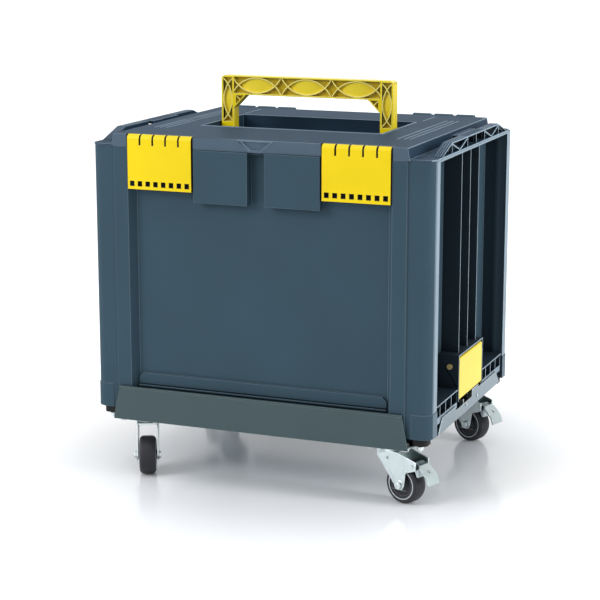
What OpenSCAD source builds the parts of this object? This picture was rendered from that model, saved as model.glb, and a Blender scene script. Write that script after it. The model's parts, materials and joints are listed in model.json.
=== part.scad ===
// Tall hard tool case with a hinged lid, standing on its own four-caster trolley.
// Millimetres, +Z up, origin on the floor below the middle of the case, front towards -Y.

/* [Case body] */
// Width over the corner posts
case_w = 455; // [440:1:480]
// Depth over the front and rear frames
case_d = 356; // [340:1:380]
// Height from the underside of the posts to the parting line
body_h = 342; // [330:1:380]
// Wall of the mouldings
wall = 2.5; // [2:0.1:3]
// Depth of the open pockets in both sides
side_depth = 30.5; // [26:0.5:34]
// Depth of the panels sunk into front and rear
front_depth = 12; // [10:0.5:14]
// Distance from a post's outer face to the sunk panel's opening
frame_w = 51.5; // [50:0.5:57]
// Sideways draft of the sunk panel's cheeks
panel_draft = 7; // [4:0.5:8]
// Length of a corner post from front to back
post_len = 26; // [22:1:32]
// Outer corner radius of the posts
post_r = 13.5; // [8:0.5:16]
// Set-back of the posts behind the frames
post_set = 2; // [1:0.5:3]
// Height of the thicker skirt at the foot of each post
skirt_h = 31; // [24:1:36]
// How far that skirt stands proud
skirt_out = 1; // [0.5:0.1:1.5]
// Thickness of the rim plate at the parting line
rim_t = 3; // [2.5:0.5:4]
// Height of the tub's underside above the post ends
floor_up = 8; // [6:1:14]
// Thickness of the tub's floor
floor_t = 3; // [2.5:0.5:4]

/* [Side pockets] */
// Spacing of the three upright fins
fin_pitch = 38; // [30:1:44]
// Thickness of a fin
fin_t = 2; // [1.6:0.2:3]
// Set-back of the fins' edges from the post face
fin_set = 6.5; // [4:0.5:10]
// Top of the side sill above the post ends
sill_h = 35.5; // [32:0.5:40]
// Height of the openings in the sill
sill_win_h = 15; // [10:1:18]
// Number of openings in the sill on each side of the latch
sill_cells = 4; // [3:1:5]

/* [Lid] */
// Height of the lid above the parting line
lid_h = 16; // [15:0.5:18]
// Distance from a post's outer face to the raised platform
lid_side = 32.5; // [32:0.5:37]
// Gap between lid and body at the parting line
lid_gap = 0.3; // [0.2:0.1:0.5]
// Thickness of the lid's rim plate
lid_rim_t = 2; // [1.6:0.2:2.6]
// Overhang of the lid's rim beyond the posts
lid_over = 1; // [0.5:0.1:1.5]
// Depth of the plug rib below the parting line
plug_h = 6; // [5:0.5:8]
// Gap between the seal and the mouth of the tub
seal_gap = 0.6; // [0.5:0.1:1]
// Thickness of the seal
seal_t = 3.6; // [3:0.1:4]
// Height of the seal
seal_h = 4.8; // [3:0.1:5]
// Width of the box flange along each side of the lid
flange_w = 12.5; // [11:0.5:14]
// Half length of the flange at its foot
flange_half = 150; // [146:1:154]
// Half length of the flange's level top
flange_top_half = 104; // [96:1:112]
// Width of the bars in the flange's lattice
lattice_bar = 1.8; // [1.4:0.2:2.4]

/* [Handle] */
// Width over the legs
grip_w = 240; // [220:1:242]
// Height of the bail from its pivot to the top
grip_h = 69.5; // [66:0.5:70]
// Depth from front to back
grip_d = 16; // [14:0.5:16]
// Height of the bar
bar_h = 25; // [20:1:28]
// Width of a leg
leg_w = 18; // [15:0.5:20]
// Distance of the pivot in front of the case's middle
pivot_front = 3; // [1:0.5:6]
// Outer corner radius of the bail
grip_corner = 5; // [3:0.5:7]
// Radius of the pivot pins
grip_pin_r = 2.5; // [2:0.1:3]
// Height of the crowned pads in the bar above its web
pad_crown = 3.2; // [1.5:0.1:4]
// Clearance between the legs and the walls of the recess
grip_side_gap = 3; // [2:0.5:4]
// Distance from the handle's middle plane to the front of the recess
well_front = 61; // [54:1:66]
// Gap under and behind the folded handle
fold_gap = 2; // [1.5:0.5:3]

/* [Front latches] */
// Width of a front latch
latch_w = 88.5; // [80:0.5:90]
// Height of a front latch
latch_h = 69.5; // [60:0.5:74]
// Thickness of a latch plate
latch_t = 2.5; // [2:0.1:3]
// Radius of the rolled top edge
roll_r = 6; // [5:0.5:6]
// Side gap round a latch
latch_gap = 1; // [0.6:0.1:1.4]
// Radius of the latch and hinge pins
pin_r = 1.5; // [1.2:0.1:1.8]
// Running clearance round every turning pin
run_gap = 0.05; // [0.02:0.01:0.09]
// Width of the slits in the rolled edge
slit_w = 2.2; // [2:0.1:3]
// Depth of the slits
slit_h = 13.5; // [12:0.5:16]
// Side of the square holes
hole_a = 6; // [4:0.5:7]
// Spacing of the square holes
hole_pitch = 10.8; // [9:0.1:11]
// Length of the fixed tabs between the latches
tab_h = 66; // [50:1:74]
// Gap between the two fixed tabs
tab_split = 23; // [16:1:30]

/* [Lid hinge] */
// Radius of the hinge barrels
barrel_r = 7.5; // [6:0.5:7.5]
// Width of each body barrel
barrel_w = 25; // [20:1:27]
// Width of each lid barrel between them
lid_barrel_w = 5; // [4:0.5:7]
// Side gap between barrels
barrel_gap = 0.5; // [0.3:0.1:0.8]

/* [Side latches] */
// Width of a side latch
side_latch_w = 103; // [90:1:104]
// Height of a side latch
side_latch_h = 54.5; // [50:0.5:58]
// Height of its upper edge above the post ends
side_latch_up = 75.5; // [73:0.5:84]
// Width of the cheeks beside it
cheek_t = 2.5; // [2:0.5:3]
// Width of the keeper behind it
keeper_w = 26; // [20:1:28]
// Distance of the keeper's near edge behind the case's middle
keeper_back = 8; // [5:1:12]
// Radius of the brass screw in the front cheek
cheek_screw_r = 2; // [1.5:0.1:2.5]

/* [Trolley] */
// Sheet thickness
sheet = 2; // [1.5:0.5:3]
// Height of the rubber pads under the posts
pad_h = 10; // [8:1:14]
// Width of a pad
pad_w = 18; // [15:0.5:19]
// Distance from a post's outer face to its pad
pad_in = 6; // [5:0.5:8]
// Distance from a post's inner end to the pad's screw
pad_screw_back = 13; // [11:0.5:15]
// Height of the front and rear panels above the deck
apron_h = 41; // [34:1:44]
// Distance from a post's outer face to the panel's upper corner
apron_in_high = 35; // [32:0.5:46]
// Distance from a post's outer face to the panel's lower corner
apron_in_low = 26.5; // [22:0.5:29]
// Depth of the panel's flange under the deck
apron_flange = 22; // [18:1:26]
// Gap between the panels and the case's frames
apron_gap = 2; // [1:0.5:4]
// Distance of the outer panel screws from the caster plates
panel_screw_in = 15; // [8:1:40]
// Distance of the inner panel screws from the middle
panel_screw_near = 50; // [20:1:80]
// Distance from a post's outer face to the level part of the deck
deck_in = 22.5; // [20:0.5:27]
// Height of the side flange's upper edge above the post ends
rail_up = 16; // [12:1:18]
// Distance between the side flange's ends and the posts
rail_gap = 10; // [8:0.5:20]

/* [Casters] */
// Wheel diameter
wheel_d = 50; // [46:1:52]
// Tread width
wheel_w = 21; // [18:0.5:22]
// Height from the floor to the top of the mounting plate
caster_h = 77; // [75:1:80]
// Offset of the axle from the swivel axis
trail = 21; // [18:1:24]
// Distance of each swivel axis from a post's outer face
caster_in_x = 57.5; // [55:0.5:67]
// Distance of each swivel axis from the front or rear face
caster_in_y = 33; // [30:0.5:48]
// Spacing of the bolt holes in the mounting plate
bolt_pitch = 46; // [42:1:48]
// Distance from a bolt's axis to the edge of its mounting plate
plate_rim = 7; // [6:0.5:8]
// Radius of the caster bolts
bolt_r = 2.9; // [2.5:0.1:3]
// Heading of the right-hand casters, from +X
right_heading = -20; // [-40:1:40]
// Heading of the front left caster, from +X
front_left_heading = -66; // [-90:1:-50]
// Heading of the rear left caster, from +X
rear_left_heading = 200; // [160:1:240]
// Thickness of the fork legs
fork_t = 2; // [1.5:0.5:3]
// Gap between the fork legs
fork_gap = 24; // [23:0.5:26]
// Radius of the wheel axle
axle_r = 3; // [2.5:0.1:4]
// Radius of the kingpin
king_r = 5; // [4:0.5:6]

/* [Hidden] */
$fn = 48;
eps = 0.01;

// Colours
c_case = "#3f505c";
c_yellow = "#ffe100";
c_zinc = "#c9cfd2";
c_trolley = "#44555a";
c_rubber = "#17181a";
c_tyre = "#3c3c40";
c_brass = "#b08d4a";

// Levels
deck_top = caster_h + sheet;
post_z = deck_top + pad_h;
rim_z = post_z + body_h;
lid_z = rim_z + lid_gap;
top_z = rim_z + lid_h;

// Plan of the body
hw = case_w / 2;
hd = case_d / 2;
tub_x = hw - side_depth;
tub_y = hd - front_depth;
in_x = tub_x - wall;
in_y = tub_y - wall;
plat_x = hw - lid_side;
recess_x = hw - frame_w;
recess_in_x = recess_x - panel_draft;
post_front = hd - post_set;
post_y = post_front - post_len;
floor_z = post_z + floor_up + floor_t;

// Front latch
latch_face = hd + 2;
latch_axis_y = -(latch_face - roll_r);
latch_axis_z = top_z - roll_r;
latch_low = top_z - latch_h;
latch_x = recess_x - latch_gap - latch_w;
bay_x0 = latch_x - latch_gap;
bay_x1 = latch_x + latch_w + latch_gap;
bay_back = latch_face - 2 * roll_r - 0.5;

// Lid hinge
hinge_y = hd - 7;
hinge_z = top_z + 1.5 - barrel_r;
lid_back = hinge_y - barrel_r - 0.5;
group_x0 = latch_x + 1.5;
group_step = barrel_w + lid_barrel_w + 2 * barrel_gap;
group_x1 = group_x0 + 3 * barrel_w + 2 * lid_barrel_w + 4 * barrel_gap;

// Handle
pivot_y = -pivot_front;
pivot_z = top_z - grip_d / 2;
grip_top = pivot_z + grip_h;
well_x = grip_w / 2 + grip_side_gap;
well_y0 = pivot_y - well_front;
well_y1 = pivot_y + grip_h + fold_gap;
well_floor = pivot_z - grip_d / 2 - fold_gap;
bar_half = grip_w / 2 - leg_w;
lens_pitch = bar_half * 2 / 3 + 2;
lens_half = 0.37 * lens_pitch;

// Side latch
side_top = post_z + side_latch_up;
side_low = side_top - side_latch_h;
side_face = hw - 1;
side_axis_x = side_face - 3;
side_axis_z = side_top - 3;
cheek_y = side_latch_w / 2 + latch_gap;
shelf_z = side_top + 2;
sill_x = hw - 3;
keeper_x = side_face - 7.5;
keeper_end = keeper_back + keeper_w;
keeper_web = -cheek_y / 2;
cheek_screw_x = tub_x + 17.5;
cheek_screw_z = side_top - 11.5;

// Trolley
plate_a = bolt_pitch + 2 * plate_rim;
apron_y = hd + apron_gap;
apron_top = hw - apron_in_high;
apron_low = hw - apron_in_low;
caster_x = hw - caster_in_x;
caster_y = hd - caster_in_y;
bolt_head_r = 5;
deck_y = caster_y + bolt_pitch / 2 + bolt_head_r + 1;
panel_screw_y = hd - 13;
panel_screw_far = caster_x - plate_a / 2 - panel_screw_in;
rail_half = post_y - rail_gap;
pad_screw_x = hw - pad_in - pad_w + 8;
pad_screw_y = post_y + pad_screw_back;
rail_x = hw - 0.5;
rail_z = post_z + rail_up;
strip_z = rail_z - 7;
panel_screw_xs = [-panel_screw_far, -panel_screw_near, panel_screw_near, panel_screw_far];

// Casters
wheel_r = wheel_d / 2;
plate_t = 2.5;
plate_z = caster_h - plate_t;
crown_z = caster_h - 13;
crown_t = 2.5;

module both_x() {
    children();
    mirror([1, 0, 0]) children();
}

module both_y() {
    children();
    mirror([0, 1, 0]) children();
}

// Box between two corners
module box(a, b) {
    translate(a) cube(b - a);
}

// Upright block whose one corner, at x1 and y0, is rounded
module corner_block(x0, x1, y0, y1, r, z0, z1) {
    box([x0, y0 + r, z0], [x1, y1, z1]);
    box([x0, y0, z0], [x1 - r, y0 + r + eps, z1]);
    translate([x1 - r, y0 + r, z0]) cylinder(r = r, h = z1 - z0);
}

// Profile in X and Z, drawn out along Y
module along_y(y0, y1) {
    translate([0, y1, 0]) rotate([90, 0, 0]) linear_extrude(y1 - y0) children();
}

// Profile in Y and Z, drawn out along X
module along_x(x0, x1) {
    translate([x0, 0, 0]) rotate([90, 0, 90]) linear_extrude(x1 - x0) children();
}

module rod_x(x0, x1, y, z, r) {
    translate([x0, y, z]) rotate([0, 90, 0]) cylinder(r = r, h = x1 - x0);
}

module rod_y(y0, y1, x, z, r) {
    translate([x, y1, z]) rotate([90, 0, 0]) cylinder(r = r, h = y1 - y0);
}

// ---------------------------------------------------------------- body

// Solid outline of one front quarter of the body
module quarter_outline() {
    box([0, -tub_y, post_z + floor_up], [recess_in_x + 1, -in_y, rim_z]);
    translate([0, 0, post_z]) linear_extrude(body_h) polygon([
        [recess_in_x, -tub_y], [recess_x, -hd], [plat_x, -hd], [plat_x, -in_y], [recess_in_x, -in_y]
    ]);
    corner_block(plat_x - 1, hw, -post_front, -post_y, post_r, post_z, rim_z);
    corner_block(apron_low + 2, hw + skirt_out, -post_front - skirt_out, -post_y,
        post_r + skirt_out, post_z, post_z + skirt_h);
    box([in_x, -tub_y, post_z + floor_up], [tub_x, 0, rim_z]);
    box([tub_x - 1, -post_y - 1, rim_z - rim_t], [hw, 0, rim_z]);
    box([0, -in_y - 1, post_z + floor_up], [in_x + 1, 0, floor_z]);
}

// Hollow inside one post and the frame beside it, open below
module post_hollow() {
    z1 = rim_z - rim_t;
    corner_block(tub_x + wall, hw - wall, -post_front + wall, -post_y - wall,
        post_r - wall, post_z - 1, z1);
    box([recess_x + wall, -post_front + wall, post_z - 1], [tub_x + wall + 1, -tub_y, z1]);
}

// Fixed tab between the latches, open below and behind
module fixed_tab() {
    z0 = rim_z - tab_h;
    x0 = tab_split / 2;
    x1 = bay_x0 - 1.3;
    box([x0, -latch_face, z0], [x1, -latch_face + wall, rim_z]);
    box([x0, -latch_face, rim_z - wall], [x1, -tub_y + eps, rim_z]);
    for (x = [x0, (x0 + x1 - wall) / 2, x1 - wall]) {
        box([x, -latch_face, z0], [x + wall, -tub_y + eps, rim_z]);
    }
}

// Rail that a front latch snaps over
module latch_catch() {
    z = latch_low + 12;
    box([bay_x0 + 8, -hd + 1.2, z], [bay_x1 - 8, -tub_y + eps, z + 3]);
    for (x = [bay_x0 + 8, (bay_x0 + bay_x1 - wall) / 2, bay_x1 - 8 - wall]) {
        along_x(x, x + wall) polygon([[-hd + 1.2, z], [-tub_y + eps, z], [-tub_y + eps, z - 9]]);
    }
}

// Low ledge and lip along the foot of a sunk panel
module foot_ledge() {
    z0 = post_z + skirt_h + 3;
    z1 = z0 + 14;
    c = 6;
    along = recess_in_x;
    difference() {
        box([-along, -tub_y - 4, z0], [along, -tub_y + eps, z1]);
        both_x() translate([along, 0, z1]) rotate([0, 45, 0])
            cube([c * 1.42, 3 * tub_y, c * 1.42], center = true);
    }
    box([-along, -tub_y - 5.5, z0 - 3.5], [along, -tub_y + eps, z0 - 1.5]);
}

// Pocket parts in one side: fins, shelf and cheeks of the latch, sill
module side_fittings() {
    for (y = [-fin_pitch, 0, fin_pitch]) {
        box([tub_x - 1, y - fin_t / 2, shelf_z], [hw - fin_set, y + fin_t / 2, rim_z - 1]);
    }
    box([tub_x - 1, -cheek_y - cheek_t, shelf_z], [side_face, cheek_y + cheek_t, shelf_z + 2]);
    both_y() difference() {
        box([tub_x - 1, cheek_y, post_z + 10], [side_face, cheek_y + cheek_t, shelf_z + 1]);
        box([rail_x - 5, cheek_y - 1, post_z], [hw, cheek_y + cheek_t + 1, rail_z + 2]);
    }
    both_y() sill();
}

// Openwork sill between a post and the latch
module sill() {
    y0 = cheek_y + 1;
    y1 = post_y + 1;
    z1 = post_z + sill_h;
    step = (post_y - cheek_y - cheek_t) / sill_cells;
    bar = 2.2;
    difference() {
        box([sill_x - wall, y0, post_z + 10], [sill_x, y1, z1]);
        for (i = [0 : sill_cells - 1]) {
            box([sill_x - wall - 1, cheek_y + cheek_t + i * step + bar / 2, z1 - 2 - sill_win_h],
                [sill_x + 1, cheek_y + cheek_t + (i + 1) * step - bar / 2, z1 - 2]);
        }
    }
    box([tub_x - 1, y0, z1 - 2], [sill_x + 1.5, y1, z1]);
    for (i = [1 : sill_cells - 1]) {
        y = cheek_y + cheek_t + i * step;
        box([sill_x - 9, y - bar / 2, post_z + 10], [sill_x, y + bar / 2, z1 - 1]);
    }
}

// Barrels and strap of one hinge group, on the body's side
module hinge_strap() {
    for (i = [0 : 2]) {
        x = group_x0 + i * group_step;
        rod_x(x, x + barrel_w, hinge_y, hinge_z, barrel_r);
        box([x, hinge_y, rim_z - 1], [x + barrel_w, hinge_y + barrel_r, hinge_z]);
    }
    box([group_x0 - 4, hinge_y + barrel_r - wall, rim_z - tab_h], [group_x1 + 4, hinge_y + barrel_r, rim_z]);
    for (x = [group_x0 - 4, (group_x0 + group_x1 - wall) / 2, group_x1 + 4 - wall]) {
        box([x, tub_y - eps, rim_z - tab_h], [x + wall, hinge_y + barrel_r, rim_z - 1]);
    }
}

// Bores of one hinge group, closed at the outer end
module hinge_bore() {
    rod_x(group_x0 - 1, group_x1 - 3, hinge_y, hinge_z, pin_r + run_gap);
}

// Ears that carry a side latch's pin
module side_ears() {
    both_y() box([tub_x, cheek_y - 1.6, side_axis_z - 5], [side_face - 0.5, cheek_y + eps, shelf_z + 1]);
}

module case_body() {
    color(c_case) difference() {
        union() {
            difference() {
                both_x() both_y() quarter_outline();
                box([-in_x, -in_y, floor_z], [in_x, in_y, rim_z + 1]);
                both_x() both_y() post_hollow();
            }
            both_x() fixed_tab();
            both_x() latch_catch();
            both_y() box([-recess_x, -hd + 6, rim_z - rim_t], [recess_x, -tub_y + eps, rim_z]);
            box([-recess_x, tub_y - eps, rim_z - rim_t], [recess_x, hd, rim_z]);
            both_y() foot_ledge();
            both_x() side_fittings();
            both_x() side_ears();
            both_x() hinge_strap();
        }
        both_x() hinge_bore();
        both_x() rod_y(-cheek_y - 1, cheek_y - 1, side_axis_x, side_axis_z, pin_r + run_gap);
        both_x() rod_y(-cheek_y - cheek_t - 1, 1 - cheek_y,
            cheek_screw_x, cheek_screw_z, cheek_screw_r + 0.1);
    }
}

// Brass screws in the front cheeks beside the side latches
module side_wall_screws() {
    y = -cheek_y - cheek_t;
    color(c_brass) both_x() {
        rod_y(y - eps, 0.5 - cheek_y, cheek_screw_x, cheek_screw_z, cheek_screw_r);
        rod_y(y - 1.6, y, cheek_screw_x, cheek_screw_z, cheek_screw_r + 1.6);
        difference() {
            rod_y(y - 2.4, y - 1.5, cheek_screw_x, cheek_screw_z, cheek_screw_r + 0.8);
            box([cheek_screw_x - 3, y - 3, cheek_screw_z - 0.4],
                [cheek_screw_x + 3, y - 1.9, cheek_screw_z + 0.4]);
        }
    }
}

// ---------------------------------------------------------------- lid

// Outline of the handle's recess, from a level down
module well_box(grow, z0) {
    box([-well_x - grow, well_y0 - grow, z0], [well_x + grow, well_y1 + grow, top_z + 1]);
}

// One side flange: outer wall with its lattice, top and inner wall
module side_flange() {
    x0 = hw - flange_w;
    z0 = lid_z;
    zt = top_z - 0.5;
    y0 = flange_half;
    y1 = flange_top_half;
    difference() {
        along_x(x0, hw) polygon([[-y0, z0], [-y1, zt], [y1, zt], [y0, z0]]);
        difference() {
            along_x(x0 + wall, hw - wall) polygon([
                [-y0 + 7, z0 - 1], [-y1 + 1, zt - wall], [y1 - 1, zt - wall], [y0 - 7, z0 - 1]
            ]);
            for (y = [-fin_pitch, 0, fin_pitch]) {
                box([x0, y - 1, z0], [hw, y + 1, zt]);
            }
        }
        box([x0 - 1, -fin_pitch + 1, z0 + lid_rim_t], [x0 + wall + 1, -1, zt - wall - 1]);
        box([x0 - 1, 1, z0 + lid_rim_t], [x0 + wall + 1, fin_pitch - 1, zt - wall - 1]);
        lattice_cells(hw - wall - 1, hw + 1);
    }
    // Raised shelf along the middle third
    box([x0 - 8, -fin_pitch, zt - 3.5], [x0 + eps, fin_pitch, zt + 0.5]);
    // Fine ribs on the level and sloping parts
    for (i = [1 : 3]) {
        x = x0 + i * flange_w / 4;
        both_y() along_x(x - 0.4, x + 0.4) polygon([
            [-y0 + 6, z0 + 2], [-y1, zt - 1], [-fin_pitch, zt - 1], [-fin_pitch, zt + 0.5],
            [-y1 - 0.2, zt + 0.5], [-y0 + 4, z0 + 2.4]
        ]);
    }
}

// Cells of the flange's outer lattice
module lattice_cells(x0, x1) {
    b = lattice_bar;
    zl = lid_z + lid_rim_t;
    zt = top_z - 0.5 - b;
    h = zt - zl;
    y2 = fin_pitch;
    y3 = (flange_top_half + fin_pitch) / 2;
    y4 = flange_top_half;
    run = (flange_half - flange_top_half) * 0.8;
    along_x(x0, x1) union() {
        // Middle pair of rectangles
        for (s = [-1, 1]) {
            translate([s * y2 / 2, (zl + zt) / 2]) square([y2 - b, h], center = true);
            // Triangles either side of each V
            polygon([[s * (y2 + b / 2), zl], [s * (y2 + b / 2), zt - b], [s * (y3 - b), zl]]);
            polygon([[s * (y2 + b * 1.3), zt], [s * (y4 - b * 1.3), zt], [s * y3, zl + b * 0.7]]);
            polygon([[s * (y4 - b / 2), zl], [s * (y4 - b / 2), zt - b], [s * (y3 + b), zl]]);
            // End triangle under the slope
            polygon([[s * (y4 + b / 2), zl], [s * (y4 + b / 2), zt - 0.5], [s * (y4 + run), zl]]);
        }
    }
}

// Rim plate of the lid at one side, with rounded corners
module lid_rim() {
    x1 = hw + lid_over;
    r = post_r + lid_over;
    z1 = lid_z + lid_rim_t;
    corner_block(plat_x - 3, x1, -post_front - lid_over, 0, r, lid_z, z1);
    mirror([0, 1, 0]) corner_block(plat_x - 3, x1, -lid_back - 3, 0, r, lid_z, z1);
}

// Lugs and side walls that hold one front latch's pin
module latch_lugs() {
    for (i = [1 : 4]) {
        x = latch_x + i * latch_w / 5;
        intersection() {
            box([x - 0.7, -latch_face, latch_axis_z - 5], [x + 0.7, -bay_back + 1, top_z]);
            union() {
                rod_x(x - 1, x + 1, latch_axis_y, latch_axis_z, roll_r - 0.8);
                box([x - 1, latch_axis_y, latch_axis_z - roll_r], [x + 1, -bay_back + 1, top_z - 0.8]);
            }
        }
    }
}

// Wall of the plug rib and what stiffens the lid from inside
module plug_rib() {
    x1 = in_x - seal_gap - seal_t;
    y1 = in_y - seal_gap - seal_t;
    z0 = rim_z - plug_h;
    difference() {
        box([-x1, -y1, z0], [x1, y1, top_z - 1]);
        box([-x1 + wall, -y1 + wall, z0 - 1], [x1 - wall, y1 - wall, top_z]);
    }
}

// Barrels of one hinge group, on the lid's side
module lid_barrels() {
    for (i = [0 : 1]) {
        x = group_x0 + i * group_step + barrel_w + barrel_gap;
        rod_x(x, x + lid_barrel_w, hinge_y, hinge_z, barrel_r - 1.5);
        box([x, lid_back - wall, lid_z + 2], [x + lid_barrel_w, hinge_y, hinge_z + barrel_r - 1.5]);
    }
}

// Raised beads, pockets and holes of the platform
module top_beads() {
    for (x = [plat_x - 38, plat_x - 29.5, plat_x - 22]) {
        box([x - 0.9, -103, top_z - 1], [x + 0.9, 102, top_z + 0.8]);
    }
    box([well_x + 4.4, 86, top_z - 1], [well_x + 5.8, 141, top_z + 0.8]);
}

module top_cuts() {
    translate([well_x + 8.7, 13, top_z - wall - 1]) cylinder(r = 2.5, h = wall + 2);
    // Small slot in the low channel beside the platform
    box([plat_x + 6, -137, lid_z - 1], [plat_x + 12, -134, lid_z + lid_rim_t + 1]);
}

// Thumb notch in the middle of the front band
module thumb_notch() {
    y = -hd;
    translate([0, y + 1.2, 0]) rotate([90, 0, 0]) linear_extrude(3) polygon([
        [-18.5, top_z - 2.4], [18.5, top_z - 2.4], [5.5, rim_z + 3.4], [-5.5, rim_z + 3.4]
    ]);
}

module notch_ridge() {
    along_y(-hd - 0.8, -hd + 0.5) difference() {
        polygon([[-24.5, top_z - 1], [22, top_z - 1], [7, rim_z + 1.6], [-9.5, rim_z + 1.6]]);
        polygon([[-18.5, top_z - 2.4], [18.5, top_z - 2.4], [5.5, rim_z + 3.4], [-5.5, rim_z + 3.4]]);
        polygon([[-22.6, top_z - 2.4], [-20.4, top_z - 2.4], [-8, rim_z + 3.4], [-9.2, rim_z + 3.4]]);
    }
}

// Contoured floor steps of the handle's recess
module well_steps() {
    box([-well_x - 1, well_y1 - 22, well_floor - wall], [well_x + 1, well_y1 + 1, well_floor]);
    for (s = [-1, 1]) {
        translate([s * 52, well_y0 + 24, well_floor - 1]) cylinder(r = 15, h = 4);
    }
    box([-40, well_y0 + 8, well_floor - 1], [40, well_y0 + 40, well_floor + 2.5]);
}

module lid() {
    z1 = lid_z + lid_rim_t;
    color(c_case) difference() {
        union() {
            difference() {
                union() {
                    along_y(-hd, lid_back) polygon([
                        [-plat_x - 3, lid_z], [-plat_x, top_z], [plat_x, top_z], [plat_x + 3, lid_z]
                    ]);
                    both_x() lid_rim();
                }
                // Hollow under the platform, left open below
                box([-plat_x + wall, -hd + wall, lid_z - 1], [plat_x - wall, lid_back - wall, top_z - wall]);
            }
            both_x() side_flange();
            plug_rib();
            well_box(wall, well_floor - wall);
            both_x() top_beads();
            // Inner walls of the two latch bays
            both_x() box([bay_x0 - wall, -hd, lid_z], [bay_x1 + wall, -bay_back + wall, top_z]);
            both_x() lid_barrels();
            notch_ridge();
        }
        well_box(0, well_floor);
        both_x() box([bay_x0, -hd - 5, lid_z - 1], [bay_x1, -bay_back, top_z + 1]);
        thumb_notch();
        both_x() top_cuts();
        both_x() rod_x(bay_x0 - wall + 0.8, bay_x1 + wall - 0.8, latch_axis_y, latch_axis_z, pin_r);
        both_x() hinge_bore();
        both_x() rod_x(grip_w / 2 - 9, well_x + wall + 1, pivot_y, pivot_z, grip_pin_r);
    }
    color(c_case) both_x() difference() {
        latch_lugs();
        rod_x(bay_x0 - 1, bay_x1 + 1, latch_axis_y, latch_axis_z, pin_r);
    }
    color(c_case) intersection() {
        well_steps();
        well_box(0.5, well_floor - wall);
    }
}

module lid_seal() {
    x1 = in_x - seal_gap;
    y1 = in_y - seal_gap;
    z0 = rim_z - plug_h + 0.6;
    color(c_rubber) difference() {
        box([-x1, -y1, z0], [x1, y1, z0 + seal_h]);
        box([-x1 + seal_t, -y1 + seal_t, z0 - 1], [x1 - seal_t, y1 - seal_t, z0 + seal_h + 1]);
    }
}

module lid_hinge_pins() {
    color(c_zinc) both_x() rod_x(group_x0, group_x1 - 3.2, hinge_y, hinge_z, pin_r);
}

// ---------------------------------------------------------------- handle

// Two mirrored arcs that cross at both ends, standing on a web
module lens(half_len, half_high, deep, box_half_len, box_half_high) {
    r = (half_len * half_len + half_high * half_high) / (2 * half_high);
    intersection() {
        cube([2 * box_half_len, deep, 2 * box_half_high], center = true);
        for (s = [-1, 1]) {
            translate([0, deep, s * (r - half_high)]) rotate([90, 0, 0]) difference() {
                cylinder(r = r + 0.8, h = 2 * deep, $fn = 96);
                translate([0, 0, -1]) cylinder(r = r - 0.8, h = 2 * deep + 2, $fn = 96);
            }
        }
    }
}

// Crowned pad that fills a lens on both faces of the web
module lens_pad(half_len, half_high, level, crown) {
    r = (half_len * half_len + half_high * half_high) / (2 * half_high);
    big = (half_len * half_len + crown * crown) / (2 * crown);
    shift = big - level - crown;
    intersection() {
        rotate([90, 0, 0]) linear_extrude(3 * (level + crown), center = true) intersection() {
            translate([0, r - half_high]) circle(r = r, $fn = 96);
            translate([0, half_high - r]) circle(r = r, $fn = 96);
        }
        translate([0, shift, 0]) cylinder(r = big, h = 3 * half_high, center = true, $fn = 180);
        translate([0, -shift, 0]) cylinder(r = big, h = 3 * half_high, center = true, $fn = 180);
    }
}

// Outline of the bail in X and Z
module bail_outline() {
    hx = grip_w / 2;
    c = grip_corner;
    gusset = 17;
    for (s = [-1, 1]) {
        translate([s * (hx - c), grip_top - c]) circle(r = c);
    }
    polygon([
        [-hx, pivot_z], [-hx, grip_top - c], [-hx + c, grip_top], [hx - c, grip_top], [hx, grip_top - c],
        [hx, pivot_z], [hx - leg_w, pivot_z], [hx - leg_w, grip_top - bar_h - gusset],
        [hx - leg_w - gusset, grip_top - bar_h], [-hx + leg_w + gusset, grip_top - bar_h],
        [-hx + leg_w, grip_top - bar_h - gusset], [-hx + leg_w, pivot_z]
    ]);
}

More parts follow.
